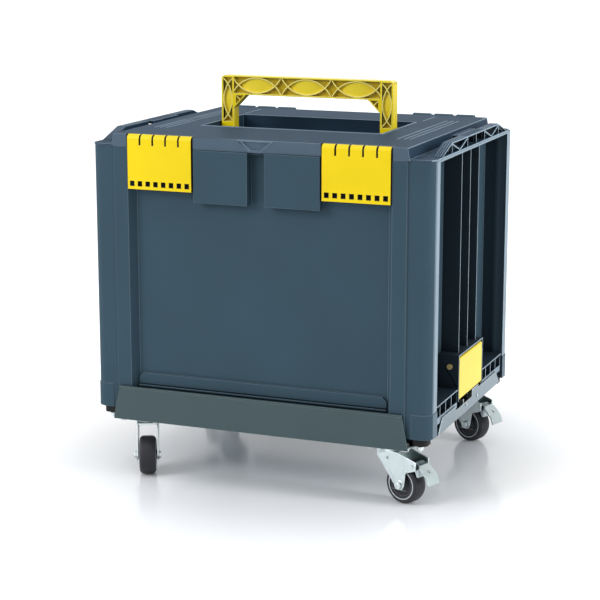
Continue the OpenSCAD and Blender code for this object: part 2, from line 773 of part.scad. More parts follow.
module handle() {
    hx = grip_w / 2;
    rim = 2.6;
    bar_rim = 1.8;
    web = 5;
    bar_mid = grip_top - bar_h / 2;
    bar_in = bar_h / 2 - bar_rim;
    leg_mid = hx - leg_w / 2;
    leg_z0 = pivot_z + 9;
    leg_z1 = grip_top - rim;
    pocket_a = 11;
    rib_l = pocket_a / 2 + 0.8;
    rib_y = grip_d / 2 - 0.7;
    corner_x = bar_half - rim;
    corner_z = grip_top - bar_h - 1;
    color(c_yellow) difference() {
        union() {
            difference() {
                union() {
                    along_y(pivot_y - grip_d / 2, pivot_y + grip_d / 2) bail_outline();
                    both_x() rod_x(hx - leg_w, hx, pivot_y, pivot_z, grip_d / 2);
                }
                for (s = [-1, 1]) {
                    y = pivot_y + s * (web / 2 + 10);
                    translate([0, y, bar_mid]) cube([2 * bar_half, 20, 2 * bar_in], center = true);
                    both_x() {
                        translate([leg_mid, y, (leg_z0 + leg_z1) / 2])
                            cube([leg_w - 2 * rim, 20, leg_z1 - leg_z0], center = true);
                        along_y(y - 10, y + 10) polygon([
                            [corner_x, corner_z], [corner_x, corner_z - pocket_a], [corner_x - pocket_a, corner_z]
                        ]);
                    }
                }
            }
            for (x = [-lens_pitch, 0, lens_pitch]) {
                translate([x, pivot_y, bar_mid]) {
                    lens(lens_half, bar_in - 0.8, grip_d - 1.4, lens_pitch / 2 - 0.6, bar_in + 0.5);
                    lens_pad(lens_half, bar_in - 0.8, web / 2, pad_crown);
                }
            }
            // Rib across each gusset's pocket, from its corner to its slanted side
            both_x() along_y(pivot_y - rib_y, pivot_y + rib_y) polygon([
                [corner_x + 0.5, corner_z - 0.5], [corner_x - 0.5, corner_z + 0.5],
                [corner_x - 0.5 - rib_l, corner_z + 0.5 - rib_l],
                [corner_x + 0.5 - rib_l, corner_z - 0.5 - rib_l]
            ]);
            both_x() translate([leg_mid, pivot_y, (leg_z0 + leg_z1) / 2]) rotate([0, 90, 0]) {
                lens(20, leg_w / 2 - rim - 0.4, grip_d - 1.4,
                    (leg_z1 - leg_z0) / 2 + 0.5, leg_w / 2 - rim + 0.5);
                lens_pad(20, leg_w / 2 - rim - 0.4, web / 2, pad_crown * 0.7);
            }
        }
        both_x() rod_x(hx - 9, hx + 1, pivot_y, pivot_z, grip_pin_r + run_gap);
    }
}

module handle_pivot_pins() {
    color(c_zinc) both_x() rod_x(grip_w / 2 - 8.5, well_x + wall + 0.8, pivot_y, pivot_z, grip_pin_r);
}

// ---------------------------------------------------------------- latches

module front_latch() {
    x1 = latch_x + latch_w;
    y = -latch_face;
    first = latch_x + (latch_w - 7 * hole_pitch) / 2;
    color(c_yellow) difference() {
        union() {
            rod_x(latch_x, x1, latch_axis_y, latch_axis_z, roll_r);
            box([latch_x, y, latch_low], [x1, y + latch_t, latch_axis_z]);
            box([latch_x, y, latch_low], [x1, y + latch_t + 0.4, latch_low + 2]);
        }
        rod_x(latch_x - 1, x1 + 1, latch_axis_y, latch_axis_z, pin_r + run_gap);
        for (i = [1 : 4]) {
            x = latch_x + i * latch_w / 5;
            box([x - slit_w / 2, y - 1, top_z - slit_h], [x + slit_w / 2, y + 3 * roll_r, top_z + 1]);
        }
        for (i = [0 : 7]) {
            x = first + i * hole_pitch;
            box([x - hole_a / 2, y - 1, latch_low + 4.5], [x + hole_a / 2, y + 4, latch_low + 4.5 + hole_a]);
        }
    }
}

module front_latch_pins() {
    color(c_zinc) both_x() rod_x(bay_x0 - wall + 1, bay_x1 + wall - 1, latch_axis_y, latch_axis_z, pin_r);
}

module side_latch() {
    hy = side_latch_w / 2;
    half = hy - 0.4;
    color(c_yellow) difference() {
        union() {
            rod_y(-half, half, side_axis_x, side_axis_z, 3);
            box([side_face - latch_t, -half, side_low], [side_face, half, side_axis_z]);
            // Tongue that enters the keeper's window
            box([side_face - 8, keeper_back + 4, side_low + 2],
                [side_face - 1, keeper_end - 6, side_low + 4]);
            // Stiffening rim on the inner face
            both_y() box([side_face - 5, half - 2, side_low], [side_face - 1, half, side_axis_z - 4]);
        }
        rod_y(-hy, hy, side_axis_x, side_axis_z, pin_r + run_gap);
        both_y() box([side_axis_x - 5, cheek_y - 2, side_axis_z - 6], [side_face + 1, cheek_y, side_top + 1]);
    }
}

module side_latch_pins() {
    color(c_zinc) both_x() rod_y(-cheek_y + 0.2, cheek_y - 1.2, side_axis_x, side_axis_z, pin_r);
}

// ---------------------------------------------------------------- trolley

module bolt_spots() {
    for (sx = [-1, 1], sy = [-1, 1]) {
        translate([sx * bolt_pitch / 2, sy * bolt_pitch / 2, 0]) children();
    }
}

module at_casters() {
    for (sx = [-1, 1], sy = [-1, 1]) {
        translate([sx * caster_x, sy * caster_y, 0]) children();
    }
}

// Upper outline of the side flange in Y and Z: notched in front, raised behind
module rail_outline() {
    polygon([
        [-rail_half, post_z - 3], [-rail_half + 18, rail_z],
        [-cheek_y - 12.5, rail_z], [-cheek_y - 12.5, rail_z - 6],
        [keeper_back, rail_z - 6], [keeper_back, rail_z + 4], [keeper_end + 2, rail_z + 4],
        [keeper_end + 2, rail_z], [rail_half - 18, rail_z],
        [rail_half, post_z - 3], [rail_half, deck_top - sheet - 1], [-rail_half, deck_top - sheet - 1]
    ]);
}

module trolley_deck() {
    dx = hw - deck_in;
    color(c_zinc) difference() {
        union() {
            box([-dx, -deck_y, deck_top - sheet], [dx, deck_y, deck_top]);
            both_x() intersection() {
                along_y(-rail_half, rail_half) polygon([
                    [dx - 5, deck_top - sheet], [dx + 1, deck_top - sheet], [rail_x, post_z - 3],
                    [rail_x, rail_z + 5], [rail_x - sheet, rail_z + 5], [rail_x - sheet, post_z - 2],
                    [dx, deck_top], [dx - 5, deck_top]
                ]);
                along_x(dx - 10, hw + 1) rail_outline();
            }
        }
        at_casters() bolt_spots() translate([0, 0, deck_top - 5]) cylinder(r = bolt_r + 0.2, h = 8);
        for (x = panel_screw_xs) {
            both_y() translate([x, -panel_screw_y, deck_top - 5]) cylinder(r = 2.1, h = 8);
        }
        both_x() both_y() translate([pad_screw_x, pad_screw_y, deck_top - 5]) cylinder(r = 2.1, h = 8);
    }
}

// Painted panel in front of the case, with a hemmed top and a flange under the deck
module apron() {
    z0 = deck_top - 2 * sheet;
    z1 = deck_top + apron_h;
    y = -apron_y;
    difference() {
        union() {
            translate([0, y, 0]) rotate([90, 0, 0]) linear_extrude(sheet) polygon([
                [-apron_low, z0], [apron_low, z0], [apron_top, z1 - 1.5], [-apron_top, z1 - 1.5]
            ]);
            rod_x(-apron_top, apron_top, y - sheet / 2, z1 - 1.5, 1.5);
            box([-apron_low + 4, y - sheet, z0], [apron_low - 4, y + apron_flange, deck_top - sheet]);
        }
        for (x = panel_screw_xs) {
            translate([x, -panel_screw_y, z0 - 1]) cylinder(r = 2.1, h = 2 * sheet + 2);
        }
        // Room for the caster plates
        both_x() box([caster_x - plate_a / 2 - 1, -caster_y - plate_a / 2 - 1, z0 - 1],
            [caster_x + plate_a / 2 + 1, y + apron_flange + 1, deck_top - sheet + eps]);
    }
}

module trolley_front_panel() {
    color(c_trolley) apron();
}

module trolley_rear_panel() {
    color(c_trolley) mirror([0, 1, 0]) apron();
}

module panel_screws() {
    z0 = deck_top - 2 * sheet;
    color(c_zinc) both_y() for (x = panel_screw_xs) {
        translate([x, -panel_screw_y, 0]) {
            translate([0, 0, z0 - 0.5]) cylinder(r = 2, h = 2 * sheet + 2);
            translate([0, 0, z0 - 2.6]) intersection() {
                cylinder(r = 4.2, h = 2.6);
                translate([0, 0, 4.6]) sphere(r = 4.9);
            }
        }
    }
}

// Rubber pads that the posts stand on
module corner_pads() {
    color(c_rubber) both_x() both_y() difference() {
        corner_block(hw - pad_in - pad_w, hw - pad_in, -post_front + 5, -post_y - 3, 8, deck_top, post_z);
        translate([pad_screw_x, -pad_screw_y, deck_top - 1]) cylinder(r = 2.1, h = pad_h + 2);
        translate([pad_screw_x, -pad_screw_y, deck_top + 3]) cylinder(r = 4.5, h = pad_h);
    }
}

module pad_screws() {
    color(c_zinc) both_x() both_y() translate([pad_screw_x, -pad_screw_y, 0]) {
        translate([0, 0, deck_top - 7]) cylinder(r = 2, h = 10.5);
        translate([0, 0, deck_top + 3]) cylinder(r = 4, h = 2.2);
        translate([0, 0, deck_top - sheet - 3]) cylinder(r = 3.8, h = 3, $fn = 6);
    }
}

// Keeper behind each side latch: strip inside the flange, thin web, step and hooked plate
module latch_keepers() {
    x1 = rail_x - sheet;
    z0 = strip_z - 5;
    z2 = side_low + 12;
    color(c_zinc) both_x() difference() {
        union() {
            box([x1 - 1.5, keeper_web, z0], [x1, keeper_end, strip_z]);
            box([keeper_x, keeper_web, z0], [x1, keeper_web + 1.5, rail_z - 1]);
            box([keeper_x, keeper_back, strip_z - 1.5], [x1, keeper_end, strip_z]);
            box([keeper_x, keeper_back, strip_z - 1.5], [keeper_x + 1.5, keeper_end, z2]);
        }
        box([keeper_x - 1, keeper_back + 3, side_low + 1], [keeper_x + 2, keeper_end - 5, side_low + 6]);
    }
}

module keeper_rivets() {
    color(c_zinc) both_x() for (y = [keeper_web + 6, keeper_end - 5]) {
        rod_x(rail_x, rail_x + 1, y, strip_z - 2.5, 2);
    }
}

// ---------------------------------------------------------------- casters

module caster_bolts() {
    color(c_zinc) at_casters() bolt_spots() {
        translate([0, 0, plate_z - 4.5]) cylinder(r = bolt_r, h = plate_t + sheet + 4.5 + 0.5);
        translate([0, 0, deck_top]) cylinder(r = bolt_head_r, h = 2.6, $fn = 32);
    }
}

module caster_nuts() {
    color(c_zinc) at_casters() bolt_spots() {
        difference() {
            translate([0, 0, plate_z - 4]) cylinder(r = 5.2, h = 4, $fn = 6);
            translate([0, 0, plate_z - 5]) cylinder(r = bolt_r, h = 6);
        }
    }
}

// Mounting plate with the upper race and the kingpin
module caster_plate(sx, sy) {
    color(c_zinc) translate([sx * caster_x, sy * caster_y, 0]) difference() {
        union() {
            translate([0, 0, plate_z + plate_t / 2]) cube([plate_a, plate_a, plate_t], center = true);
            translate([0, 0, crown_z + crown_t + 3.5])
                cylinder(r = 17, h = plate_z - crown_z - crown_t - 3.5 + eps);
            translate([0, 0, crown_z - 2]) cylinder(r = king_r, h = plate_z - crown_z + 3);
            translate([0, 0, crown_z - 2.8]) cylinder(r = king_r + 2.5, h = 2.5);
        }
        bolt_spots() translate([0, 0, plate_z - 1]) cylinder(r = bolt_r + 0.2, h = plate_t + 2);
    }
}

// Side view of a fork leg: trail along X, with an arm for the brake if it has one
module leg_outline(braked) {
    r = 7.5;
    polygon(braked
        ? [[-15, crown_z + crown_t], [-15, crown_z - 6], [trail - r, wheel_r - 1], [trail - r / 2, wheel_r - 6],
           [trail + r / 2, wheel_r - 6], [trail + r, wheel_r], [trail + r + 2, crown_z - 22],
           [brake_x - 3, crown_z - 19], [brake_x + 5, crown_z - 16], [brake_x + 5, crown_z - 5],
           [18, crown_z + crown_t]]
        : [[-15, crown_z + crown_t], [-15, crown_z - 6], [trail - r, wheel_r - 1], [trail - r / 2, wheel_r - 6],
           [trail + r / 2, wheel_r - 6], [trail + r, wheel_r], [trail + 3, crown_z - 9], [18, crown_z + crown_t]]);
}

function left_heading(sy) = sy < 0 ? front_left_heading : rear_left_heading;
function heading(sx, sy) = sx > 0 ? right_heading : left_heading(sy);
brake_x = trail + 20;
brake_z = crown_z - 11;

module at_caster(sx, sy) {
    translate([sx * caster_x, sy * caster_y, 0]) rotate([0, 0, heading(sx, sy)]) children();
}

module caster_fork(sx, sy) {
    braked = sx > 0;
    g = fork_gap / 2;
    color(c_zinc) at_caster(sx, sy) difference() {
        union() {
            for (s = [0, 1]) {
                mirror([0, s, 0]) along_y(g, g + fork_t) leg_outline(braked);
            }
            box([-15, -g - 1, crown_z], [18, g + 1, crown_z + crown_t]);
            translate([0, 0, crown_z]) cylinder(r = 15, h = crown_t + 3);
            for (s = [-1, 1]) {
                rod_y(s * (g + fork_t) - 0.6, s * (g + fork_t) + 0.6, trail, wheel_r, 6);
            }
        }
        translate([0, 0, crown_z - 1]) cylinder(r = king_r + run_gap, h = crown_t + 6);
        rod_y(-g - 5, g + 5, trail, wheel_r, axle_r);
        if (braked) {
            rod_y(-g - 5, g + 5, brake_x, brake_z, pin_r);
            rod_y(-g - 5, g + 5, 2, crown_z - 7, 1.8);
        }
    }
}

module wheel_hub(sx, sy) {
    w = wheel_w / 2;
    color(c_tyre) at_caster(sx, sy) translate([trail, 0, wheel_r]) rotate([90, 0, 0]) difference() {
        union() {
            translate([0, 0, -w + 1.5]) cylinder(r = wheel_r - 8, h = wheel_w - 3);
            translate([0, 0, -w - 1]) cylinder(r = 6.5, h = wheel_w + 2);
        }
        for (s = [-1, 1]) {
            translate([0, 0, s * w]) difference() {
                cylinder(r = wheel_r - 10.5, h = 7, center = true);
                cylinder(r = 8.5, h = 8, center = true);
            }
        }
        cylinder(r = axle_r + run_gap, h = wheel_w + 4, center = true);
    }
}

module tyre(sx, sy) {
    w = wheel_w / 2;
    r0 = wheel_r - 8;
    color(c_tyre) at_caster(sx, sy) translate([trail, 0, wheel_r]) rotate([90, 0, 0])
        rotate_extrude($fn = 72) polygon([
            [r0, -w + 1], [r0 + 1.5, -w], [wheel_r - 3.5, -w], [wheel_r - 1, -w + 2], [wheel_r, -w + 5],
            [wheel_r, w - 5], [wheel_r - 1, w - 2], [wheel_r - 3.5, w], [r0 + 1.5, w], [r0, w - 1]
        ]);
}

module axle(sx, sy) {
    y = fork_gap / 2 + fork_t + 0.6;
    color(c_zinc) at_caster(sx, sy) {
        rod_y(-y - 4, y + 1, trail, wheel_r, axle_r);
        rod_y(y, y + 2.4, trail, wheel_r, 4.6);
        translate([trail, -y, wheel_r]) rotate([90, 0, 0]) cylinder(r = 5, h = 3.4, $fn = 6);
    }
}

// Pedal that presses its shoe on the tyre
module brake_pedal(sy) {
    half = 9;
    shoe = wheel_r + 13.6 - brake_z;
    color(c_zinc) at_caster(1, sy) difference() {
        union() {
            rod_y(-half, half, brake_x, brake_z, 3.6);
            along_y(-half, half) translate([brake_x, brake_z]) polygon([
                [-3, 3.4], [8, 1.5], [21.5, -12], [24.5, -21], [22, -21.6], [19.1, -13],
                [8.5, -3], [6.4, -3.2], [6, shoe], [3.6, shoe], [-1.5, -2.5]
            ]);
            along_y(-half - 2, half + 2) translate([brake_x, brake_z]) polygon([
                [9.5, 0], [21.5, -12], [24.5, -21], [22, -21.6], [19.1, -13], [8.5, -3]
            ]);
        }
        rod_y(-half - 1, half + 1, brake_x, brake_z, pin_r + run_gap);
        translate([brake_x + 14.3, 0, brake_z - 6.6]) rotate([0, 45, 0])
            cylinder(r = 2.2, h = 10, center = true);
    }
}

module brake_pin(sy) {
    y = fork_gap / 2 + fork_t + 0.8;
    color(c_zinc) at_caster(1, sy) rod_y(-y, y, brake_x, brake_z, pin_r);
}

case_body();
side_wall_screws();
lid();
lid_seal();
lid_hinge_pins();
handle();
handle_pivot_pins();
mirror([1, 0, 0]) front_latch();  // front_latch_left
front_latch();  // front_latch_right
front_latch_pins();
mirror([1, 0, 0]) side_latch();  // side_latch_left
side_latch();  // side_latch_right
side_latch_pins();
trolley_deck();
trolley_front_panel();
trolley_rear_panel();
panel_screws();
corner_pads();
pad_screws();
latch_keepers();
keeper_rivets();
caster_bolts();
caster_nuts();
brake_pedal(-1);  // brake_pedal_fr
brake_pedal(1);  // brake_pedal_br
brake_pin(-1);  // brake_pin_fr
brake_pin(1);  // brake_pin_br
caster_plate(-1, -1);  // caster_plate_fl
caster_plate(1, -1);  // caster_plate_fr
caster_plate(-1, 1);  // caster_plate_bl
caster_plate(1, 1);  // caster_plate_br
caster_fork(-1, -1);  // caster_fork_fl
caster_fork(1, -1);  // caster_fork_fr
caster_fork(-1, 1);  // caster_fork_bl
caster_fork(1, 1);  // caster_fork_br
wheel_hub(-1, -1);  // wheel_hub_fl
wheel_hub(1, -1);  // wheel_hub_fr
wheel_hub(-1, 1);  // wheel_hub_bl
wheel_hub(1, 1);  // wheel_hub_br
tyre(-1, -1);  // tyre_fl
tyre(1, -1);  // tyre_fr
tyre(-1, 1);  // tyre_bl
tyre(1, 1);  // tyre_br
axle(-1, -1);  // axle_fl
axle(1, -1);  // axle_fr
axle(-1, 1);  // axle_bl
axle(1, 1);  // axle_br
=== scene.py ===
# %% [markdown]
# # A hard tool case on its trolley
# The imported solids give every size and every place. This lesson dresses them:
# moulded edges get their small radii, metal gets its folds and bolts, and every
# surface gets a finish that starts from what the real one is made of.

# %% Load the frame
import bpy, bmesh, json, math
import numpy as np
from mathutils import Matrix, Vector


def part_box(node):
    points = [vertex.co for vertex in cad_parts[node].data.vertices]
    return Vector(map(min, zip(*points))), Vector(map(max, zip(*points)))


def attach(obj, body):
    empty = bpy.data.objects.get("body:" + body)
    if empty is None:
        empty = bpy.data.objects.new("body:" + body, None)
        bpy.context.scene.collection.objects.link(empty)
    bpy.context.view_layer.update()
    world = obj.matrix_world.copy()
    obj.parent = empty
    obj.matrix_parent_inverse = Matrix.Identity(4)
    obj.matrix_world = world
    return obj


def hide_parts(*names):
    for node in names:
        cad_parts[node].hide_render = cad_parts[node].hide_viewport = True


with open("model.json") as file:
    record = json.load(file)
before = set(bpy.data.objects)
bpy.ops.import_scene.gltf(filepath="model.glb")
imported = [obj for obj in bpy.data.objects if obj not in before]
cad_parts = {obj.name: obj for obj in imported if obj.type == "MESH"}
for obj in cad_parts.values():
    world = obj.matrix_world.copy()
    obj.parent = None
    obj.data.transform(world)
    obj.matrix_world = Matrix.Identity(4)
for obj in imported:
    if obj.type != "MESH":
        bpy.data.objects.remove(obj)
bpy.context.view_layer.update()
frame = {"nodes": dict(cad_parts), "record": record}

NODES = frame["nodes"]
MM = 0.001

# %% [markdown]
# ## The camera
# The case was photographed from the front right and a little above, through a
# long lens. A pinhole camera was solved on the straight edges of the case, and
# this is its place in metres, its aim in radians and its focal length.

# %% Camera
CAMERA_PLACE = 0.8551, -2.1870, 0.7239
TILT_DOWN, TURN_LEFT = 0.2148, 0.3777
cam_data = bpy.data.cameras.new("studio_camera")
cam_data.sensor_width = 36.0
cam_data.lens = 107.8
cam_data.clip_end = 20.0
camera = bpy.data.objects.new("studio_camera", cam_data)
bpy.context.scene.collection.objects.link(camera)
camera.location = CAMERA_PLACE
camera.rotation_euler = (math.pi / 2 - TILT_DOWN, 0.0, TURN_LEFT)
bpy.context.scene.camera = camera
print("camera", [round(v, 3) for v in camera.location], "lens", cam_data.lens)

# %% [markdown]
# ## Small helpers
# One function turns a written sRGB colour into the linear values that a shader
# wants. One adds a node with its settings, its values and its links. One starts
# a material and hands back its tree, its main shader and its coordinates.

# %% Colour and node helpers
def srgb(hex_code):
    values = [int(hex_code[i:i + 2], 16) / 255 for i in (1, 3, 5)]
    linear = [v / 12.92 if v <= 0.04045 else ((v + 0.055) / 1.055) ** 2.4 for v in values]
    return (*linear, 1.0)


def add(tree, kind, links=None, values=None, **settings):
    n = tree.nodes.new(kind)
    for key, value in settings.items():
        setattr(n, key, value)
    for key, value in (values or {}).items():
        n.inputs[key].default_value = value
    for key, source in (links or {}).items():
        tree.links.new(source, n.inputs[key])
    return n


def new_finish(name, color, roughness, metallic=0.0, ior=1.5, specular=0.5):
    mat = bpy.data.materials.new(name)
    mat.use_nodes = True
    tree = mat.node_tree
    shader = tree.nodes["Principled BSDF"]
    shader.inputs["Base Color"].default_value = srgb(color)
    shader.inputs["Roughness"].default_value = roughness
    shader.inputs["Metallic"].default_value = metallic
    if not metallic:
        shader.inputs["IOR"].default_value = ior
        shader.inputs["Specular IOR Level"].default_value = specular
    place = add(tree, "ShaderNodeTexCoord").outputs["Object"]
    return mat, tree, shader, place


print("a written mid grey becomes", [round(v, 3) for v in srgb("#808080")[:3]])

# %% [markdown]
# ## One way to colour a surface, with painted shade and painted highlights
# Each piece carries a number on its faces, its tone: 0 is the plain surface, 1
# a painted highlight where an edge or face catches the light, and -1 painted
# shade inside a pocket. A colour ramp turns the tone into a colour. Slow noise stands
# for the way that melt, paint or zinc cools unevenly, and the occlusion node
# paints shade into the colour of whatever lies deep between two walls.

# %% The shared colour of a finish
def colour_with_painted_light(tree, place, colours, reach_mm, cloud_scale, cloud=0.06, darkest_painted_shade=0.3):
    dark, plain, edge = colours
    # The tone picks a colour of painted shade at -1 and a colour of painted highlight at 1
    tone = add(tree, "ShaderNodeAttribute", attribute_name="tone").outputs["Fac"]
    share = add(tree, "ShaderNodeMapRange", {"Value": tone}, {"From Min": -1.0, "From Max": 1.0})
    ramp = add(tree, "ShaderNodeValToRGB", {"Fac": share.outputs["Result"]})
    stops = ramp.color_ramp.elements
    stops[0].color, stops[1].color = srgb(dark), srgb(edge)
    stops.new(0.5).color = srgb(plain)
    slow = add(tree, "ShaderNodeTexNoise", {"Vector": place}, {"Scale": cloud_scale, "Detail": 3.0})
    flow = add(tree, "ShaderNodeMapRange", {"Value": slow.outputs["Fac"]},
               {"From Min": 0.3, "From Max": 0.7, "To Min": 1 - cloud, "To Max": 1 + cloud})
    # Occlusion paints shade into the colour between close walls; the darkest share sets how deep
    near = add(tree, "ShaderNodeAmbientOcclusion", values={"Distance": reach_mm * MM}, samples=6)
    painted_crevice_shade = add(tree, "ShaderNodeMapRange", {"Value": near.outputs["AO"]},
                  {"From Min": 0.1, "From Max": 0.7, "To Min": darkest_painted_shade, "To Max": 1.0})
    level = add(tree, "ShaderNodeMath", {0: flow.outputs["Result"], 1: painted_crevice_shade.outputs["Result"]},
                operation="MULTIPLY")
    shade = add(tree, "ShaderNodeVectorMath", {0: ramp.outputs["Color"], "Scale": level.outputs[0]},
                operation="SCALE")
    return shade.outputs["Vector"], slow.outputs["Fac"]


# %% [markdown]
# ## Moulded plastic and rubber
# The case is polypropylene, moulded against steel that was spark-eroded to a
# fine matt grain. The eye gets a soft sheen and tiny dimples about half a
# millimetre apart, drawn a little coarser here so that they show at this
# distance. The lid has the same grain, but is a little bluer and gets less
# painted shade in its corners. The latches and the bail handle are nylon from a smoother
# mould, the handle a shade more golden. The tyres are grey thermoplastic rubber
# on dark plastic wheel centres. Each finish lists a colour of painted shade, its
# plain colour and a colour of painted highlight.

# %% Plastics
CLOUDS_PER_M = 9.0


def moulded(name, colours, roughness, grain_mm, depth_mm, reach_mm, ior, specular, darkest_painted_shade=0.3):
    mat, tree, shader, place = new_finish(name, colours[1], roughness, ior=ior, specular=specular)
    shade, _ = colour_with_painted_light(tree, place, colours, reach_mm, CLOUDS_PER_M, darkest_painted_shade=darkest_painted_shade)
    tree.links.new(shade, shader.inputs["Base Color"])
    grain = add(tree, "ShaderNodeTexNoise", {"Vector": place},
                {"Scale": 1 / (grain_mm * MM), "Detail": 2.0})
    gloss = add(tree, "ShaderNodeMapRange", {"Value": grain.outputs["Fac"]},
                {"To Min": roughness - 0.05, "To Max": roughness + 0.06})
    tree.links.new(gloss.outputs["Result"], shader.inputs["Roughness"])
    bump = add(tree, "ShaderNodeBump", {"Height": grain.outputs["Fac"]},
               {"Strength": 0.35, "Distance": depth_mm * MM})
    tree.links.new(bump.outputs["Normal"], shader.inputs["Normal"])
    return mat


POLYPROPYLENE = {"roughness": 0.55, "grain_mm": 1.2, "depth_mm": 0.10, "ior": 1.49}
NYLON = {"roughness": 0.36, "grain_mm": 1.6, "depth_mm": 0.05, "ior": 1.53, "specular": 0.25}
# Each triple: colour of painted shade, plain colour, colour of painted highlight; the reach and darkest
# share set the painted shade in crevices
case_plastic = moulded("moulded_polypropylene_blue_grey", ("#14181e", "#3b515e", "#a5b6c2"),
                       reach_mm=22, specular=0.12, darkest_painted_shade=0.4, **POLYPROPYLENE)
lid_plastic = moulded("moulded_polypropylene_lid", ("#14181e", "#2a4054", "#9fb2c0"),
                      reach_mm=7, specular=0.07, darkest_painted_shade=0.45, **POLYPROPYLENE)
handle_plastic = moulded("moulded_golden_nylon", ("#7d5c00", "#ffe300", "#fff8a0"),
                         reach_mm=3, darkest_painted_shade=0.7, **NYLON)
latch_plastic = moulded("moulded_yellow_nylon", ("#4a2c00", "#fcdc00", "#fff07c"),
                        reach_mm=6, darkest_painted_shade=0.4, **NYLON)
hub_plastic = moulded("moulded_dark_wheel_centre", ("#141416", "#2a2b30", "#b9bfc4"),
                      roughness=0.45, grain_mm=1.0, depth_mm=0.05, reach_mm=8, ior=1.5, specular=0.4)
black_rubber = moulded("moulded_black_rubber", ("#08080a", "#101113", "#26272a"),
                       roughness=0.6, grain_mm=0.9, depth_mm=0.12, reach_mm=10, ior=1.52, specular=0.25)
tyre_rubber = moulded("thermoplastic_rubber_tyre_grey", ("#151518", "#27272c", "#3c3d42"),
                      roughness=0.5, grain_mm=1.0, depth_mm=0.12, reach_mm=10, ior=1.52, specular=0.3)
print("plastics:", case_plastic.name, lid_plastic.name, handle_plastic.name, latch_plastic.name)

# %% [markdown]
# ## Painted and plated sheet
# The trolley's panels are steel sheet with a powder coat, which flows into a
# fine orange peel a few millimetres across. The casters, the keepers and the
# bolts are zinc plated: bright, faintly blue, with a soft uneven gloss left by
# the bath. The folded deck carries a duller coat of the same, and the screws in
# the case are turned brass.

# %% Powder coat, zinc and brass
def sheet_finish(name, colours, roughness, metallic, cloud_scale, ripple_mm, ripple_deep_mm, reach_mm):
    mat, tree, shader, place = new_finish(name, colours[1], roughness, metallic=metallic, specular=0.3)
    shade, cloud = colour_with_painted_light(tree, place, colours, reach_mm, cloud_scale, cloud=0.05, darkest_painted_shade=0.4)
    tree.links.new(shade, shader.inputs["Base Color"])
    gloss = add(tree, "ShaderNodeMapRange", {"Value": cloud},
                {"To Min": roughness - 0.08, "To Max": roughness + 0.1})
    tree.links.new(gloss.outputs["Result"], shader.inputs["Roughness"])
    ripple = add(tree, "ShaderNodeTexNoise", {"Vector": place},
                 {"Scale": 1 / (ripple_mm * MM), "Detail": 1.0})
    bump = add(tree, "ShaderNodeBump", {"Height": ripple.outputs["Fac"]},
               {"Strength": 0.2, "Distance": ripple_deep_mm * MM})
    tree.links.new(bump.outputs["Normal"], shader.inputs["Normal"])
    return mat


# Each triple: colour of painted shade, plain colour, colour of painted highlight; the reach sets the
# painted shade in crevices
panel_paint = sheet_finish("powder_coat_slate_green", ("#1a2224", "#415357", "#6d8085"), roughness=0.4,
                           metallic=0.0, cloud_scale=14.0, ripple_mm=2.2, ripple_deep_mm=0.12, reach_mm=12)
zinc_steel = sheet_finish("bright_zinc_plated_steel", ("#2a5450", "#ccd7d9", "#eef4f5"), roughness=0.3,
                          metallic=1.0, cloud_scale=60.0, ripple_mm=0.8, ripple_deep_mm=0.05, reach_mm=9)
deck_zinc = sheet_finish("dull_zinc_plated_sheet", ("#4b5c5e", "#88959c", "#c4ced2"), roughness=0.42,
                         metallic=1.0, cloud_scale=25.0, ripple_mm=1.2, ripple_deep_mm=0.06, reach_mm=9)
brass_metal = sheet_finish("turned_brass", ("#3c2c12", "#d8c48a", "#f0e4bc"), roughness=0.55,
                           metallic=1.0, cloud_scale=90.0, ripple_mm=0.6, ripple_deep_mm=0.04, reach_mm=1)
print("metals:", panel_paint.name, zinc_steel.name, deck_zinc.name, brass_metal.name)

# %% [markdown]
# ## Rounding what the solids leave sharp
# A solid's corner is a line, but a moulded or folded corner is a small radius,
# and that radius is what catches the light. A merged copy of a solid gets a
# narrow bevel on every edge that turns by more than a given angle. The copy
# then stands for the solid. The bevel's own faces get the tone of an edge, a
# painted highlight, and a rule for each piece paints shade and highlights on
# the rest from where they are and which way they face. A flat face is cut first
# where its tone has to change.

# %% Softened copies of the solids
# Corners closer than this are one, faces that turn by less are one, edges that turn
# by more are bevelled, and a corner this close to a cut lies on it
WELD_MM, FLAT_DEG, SHARP_DEG, ON_PLANE = 0.02, 1.0, 32, 1e-7
# The widest bevel, the material slot that marks its faces, and the darkest tone that still gets a bevel's
# painted highlight
WIDE_MM, BEVEL_SLOT, DARKEST_HIGHLIGHTED = 1.3, 1, -0.25
BODY_OF = {n: b for b, names in frame["record"]["behaviour"]["bodies"].items() for n in names}


def mark_sharp(bm, sharp_deg):
    for f in bm.faces:
        f.smooth = True
    for e in bm.edges:
        e.smooth = len(e.link_faces) == 2 and e.calc_face_angle(0) < math.radians(sharp_deg)


def place_piece(mesh, name, body, slot, *stands_for):
    obj = bpy.data.objects.new(name, mesh)
    bpy.context.scene.collection.objects.link(obj)
    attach(obj, body)
    if stands_for:
        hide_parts(*stands_for)
    return obj


def evaluated_mesh(temp):
    graph = bpy.context.evaluated_depsgraph_get()
    done = bpy.data.meshes.new_from_object(temp.evaluated_get(graph), depsgraph=graph)
    old = temp.data
    temp.modifiers.clear()
    bpy.data.objects.remove(temp)
    bpy.data.meshes.remove(old)
    return done


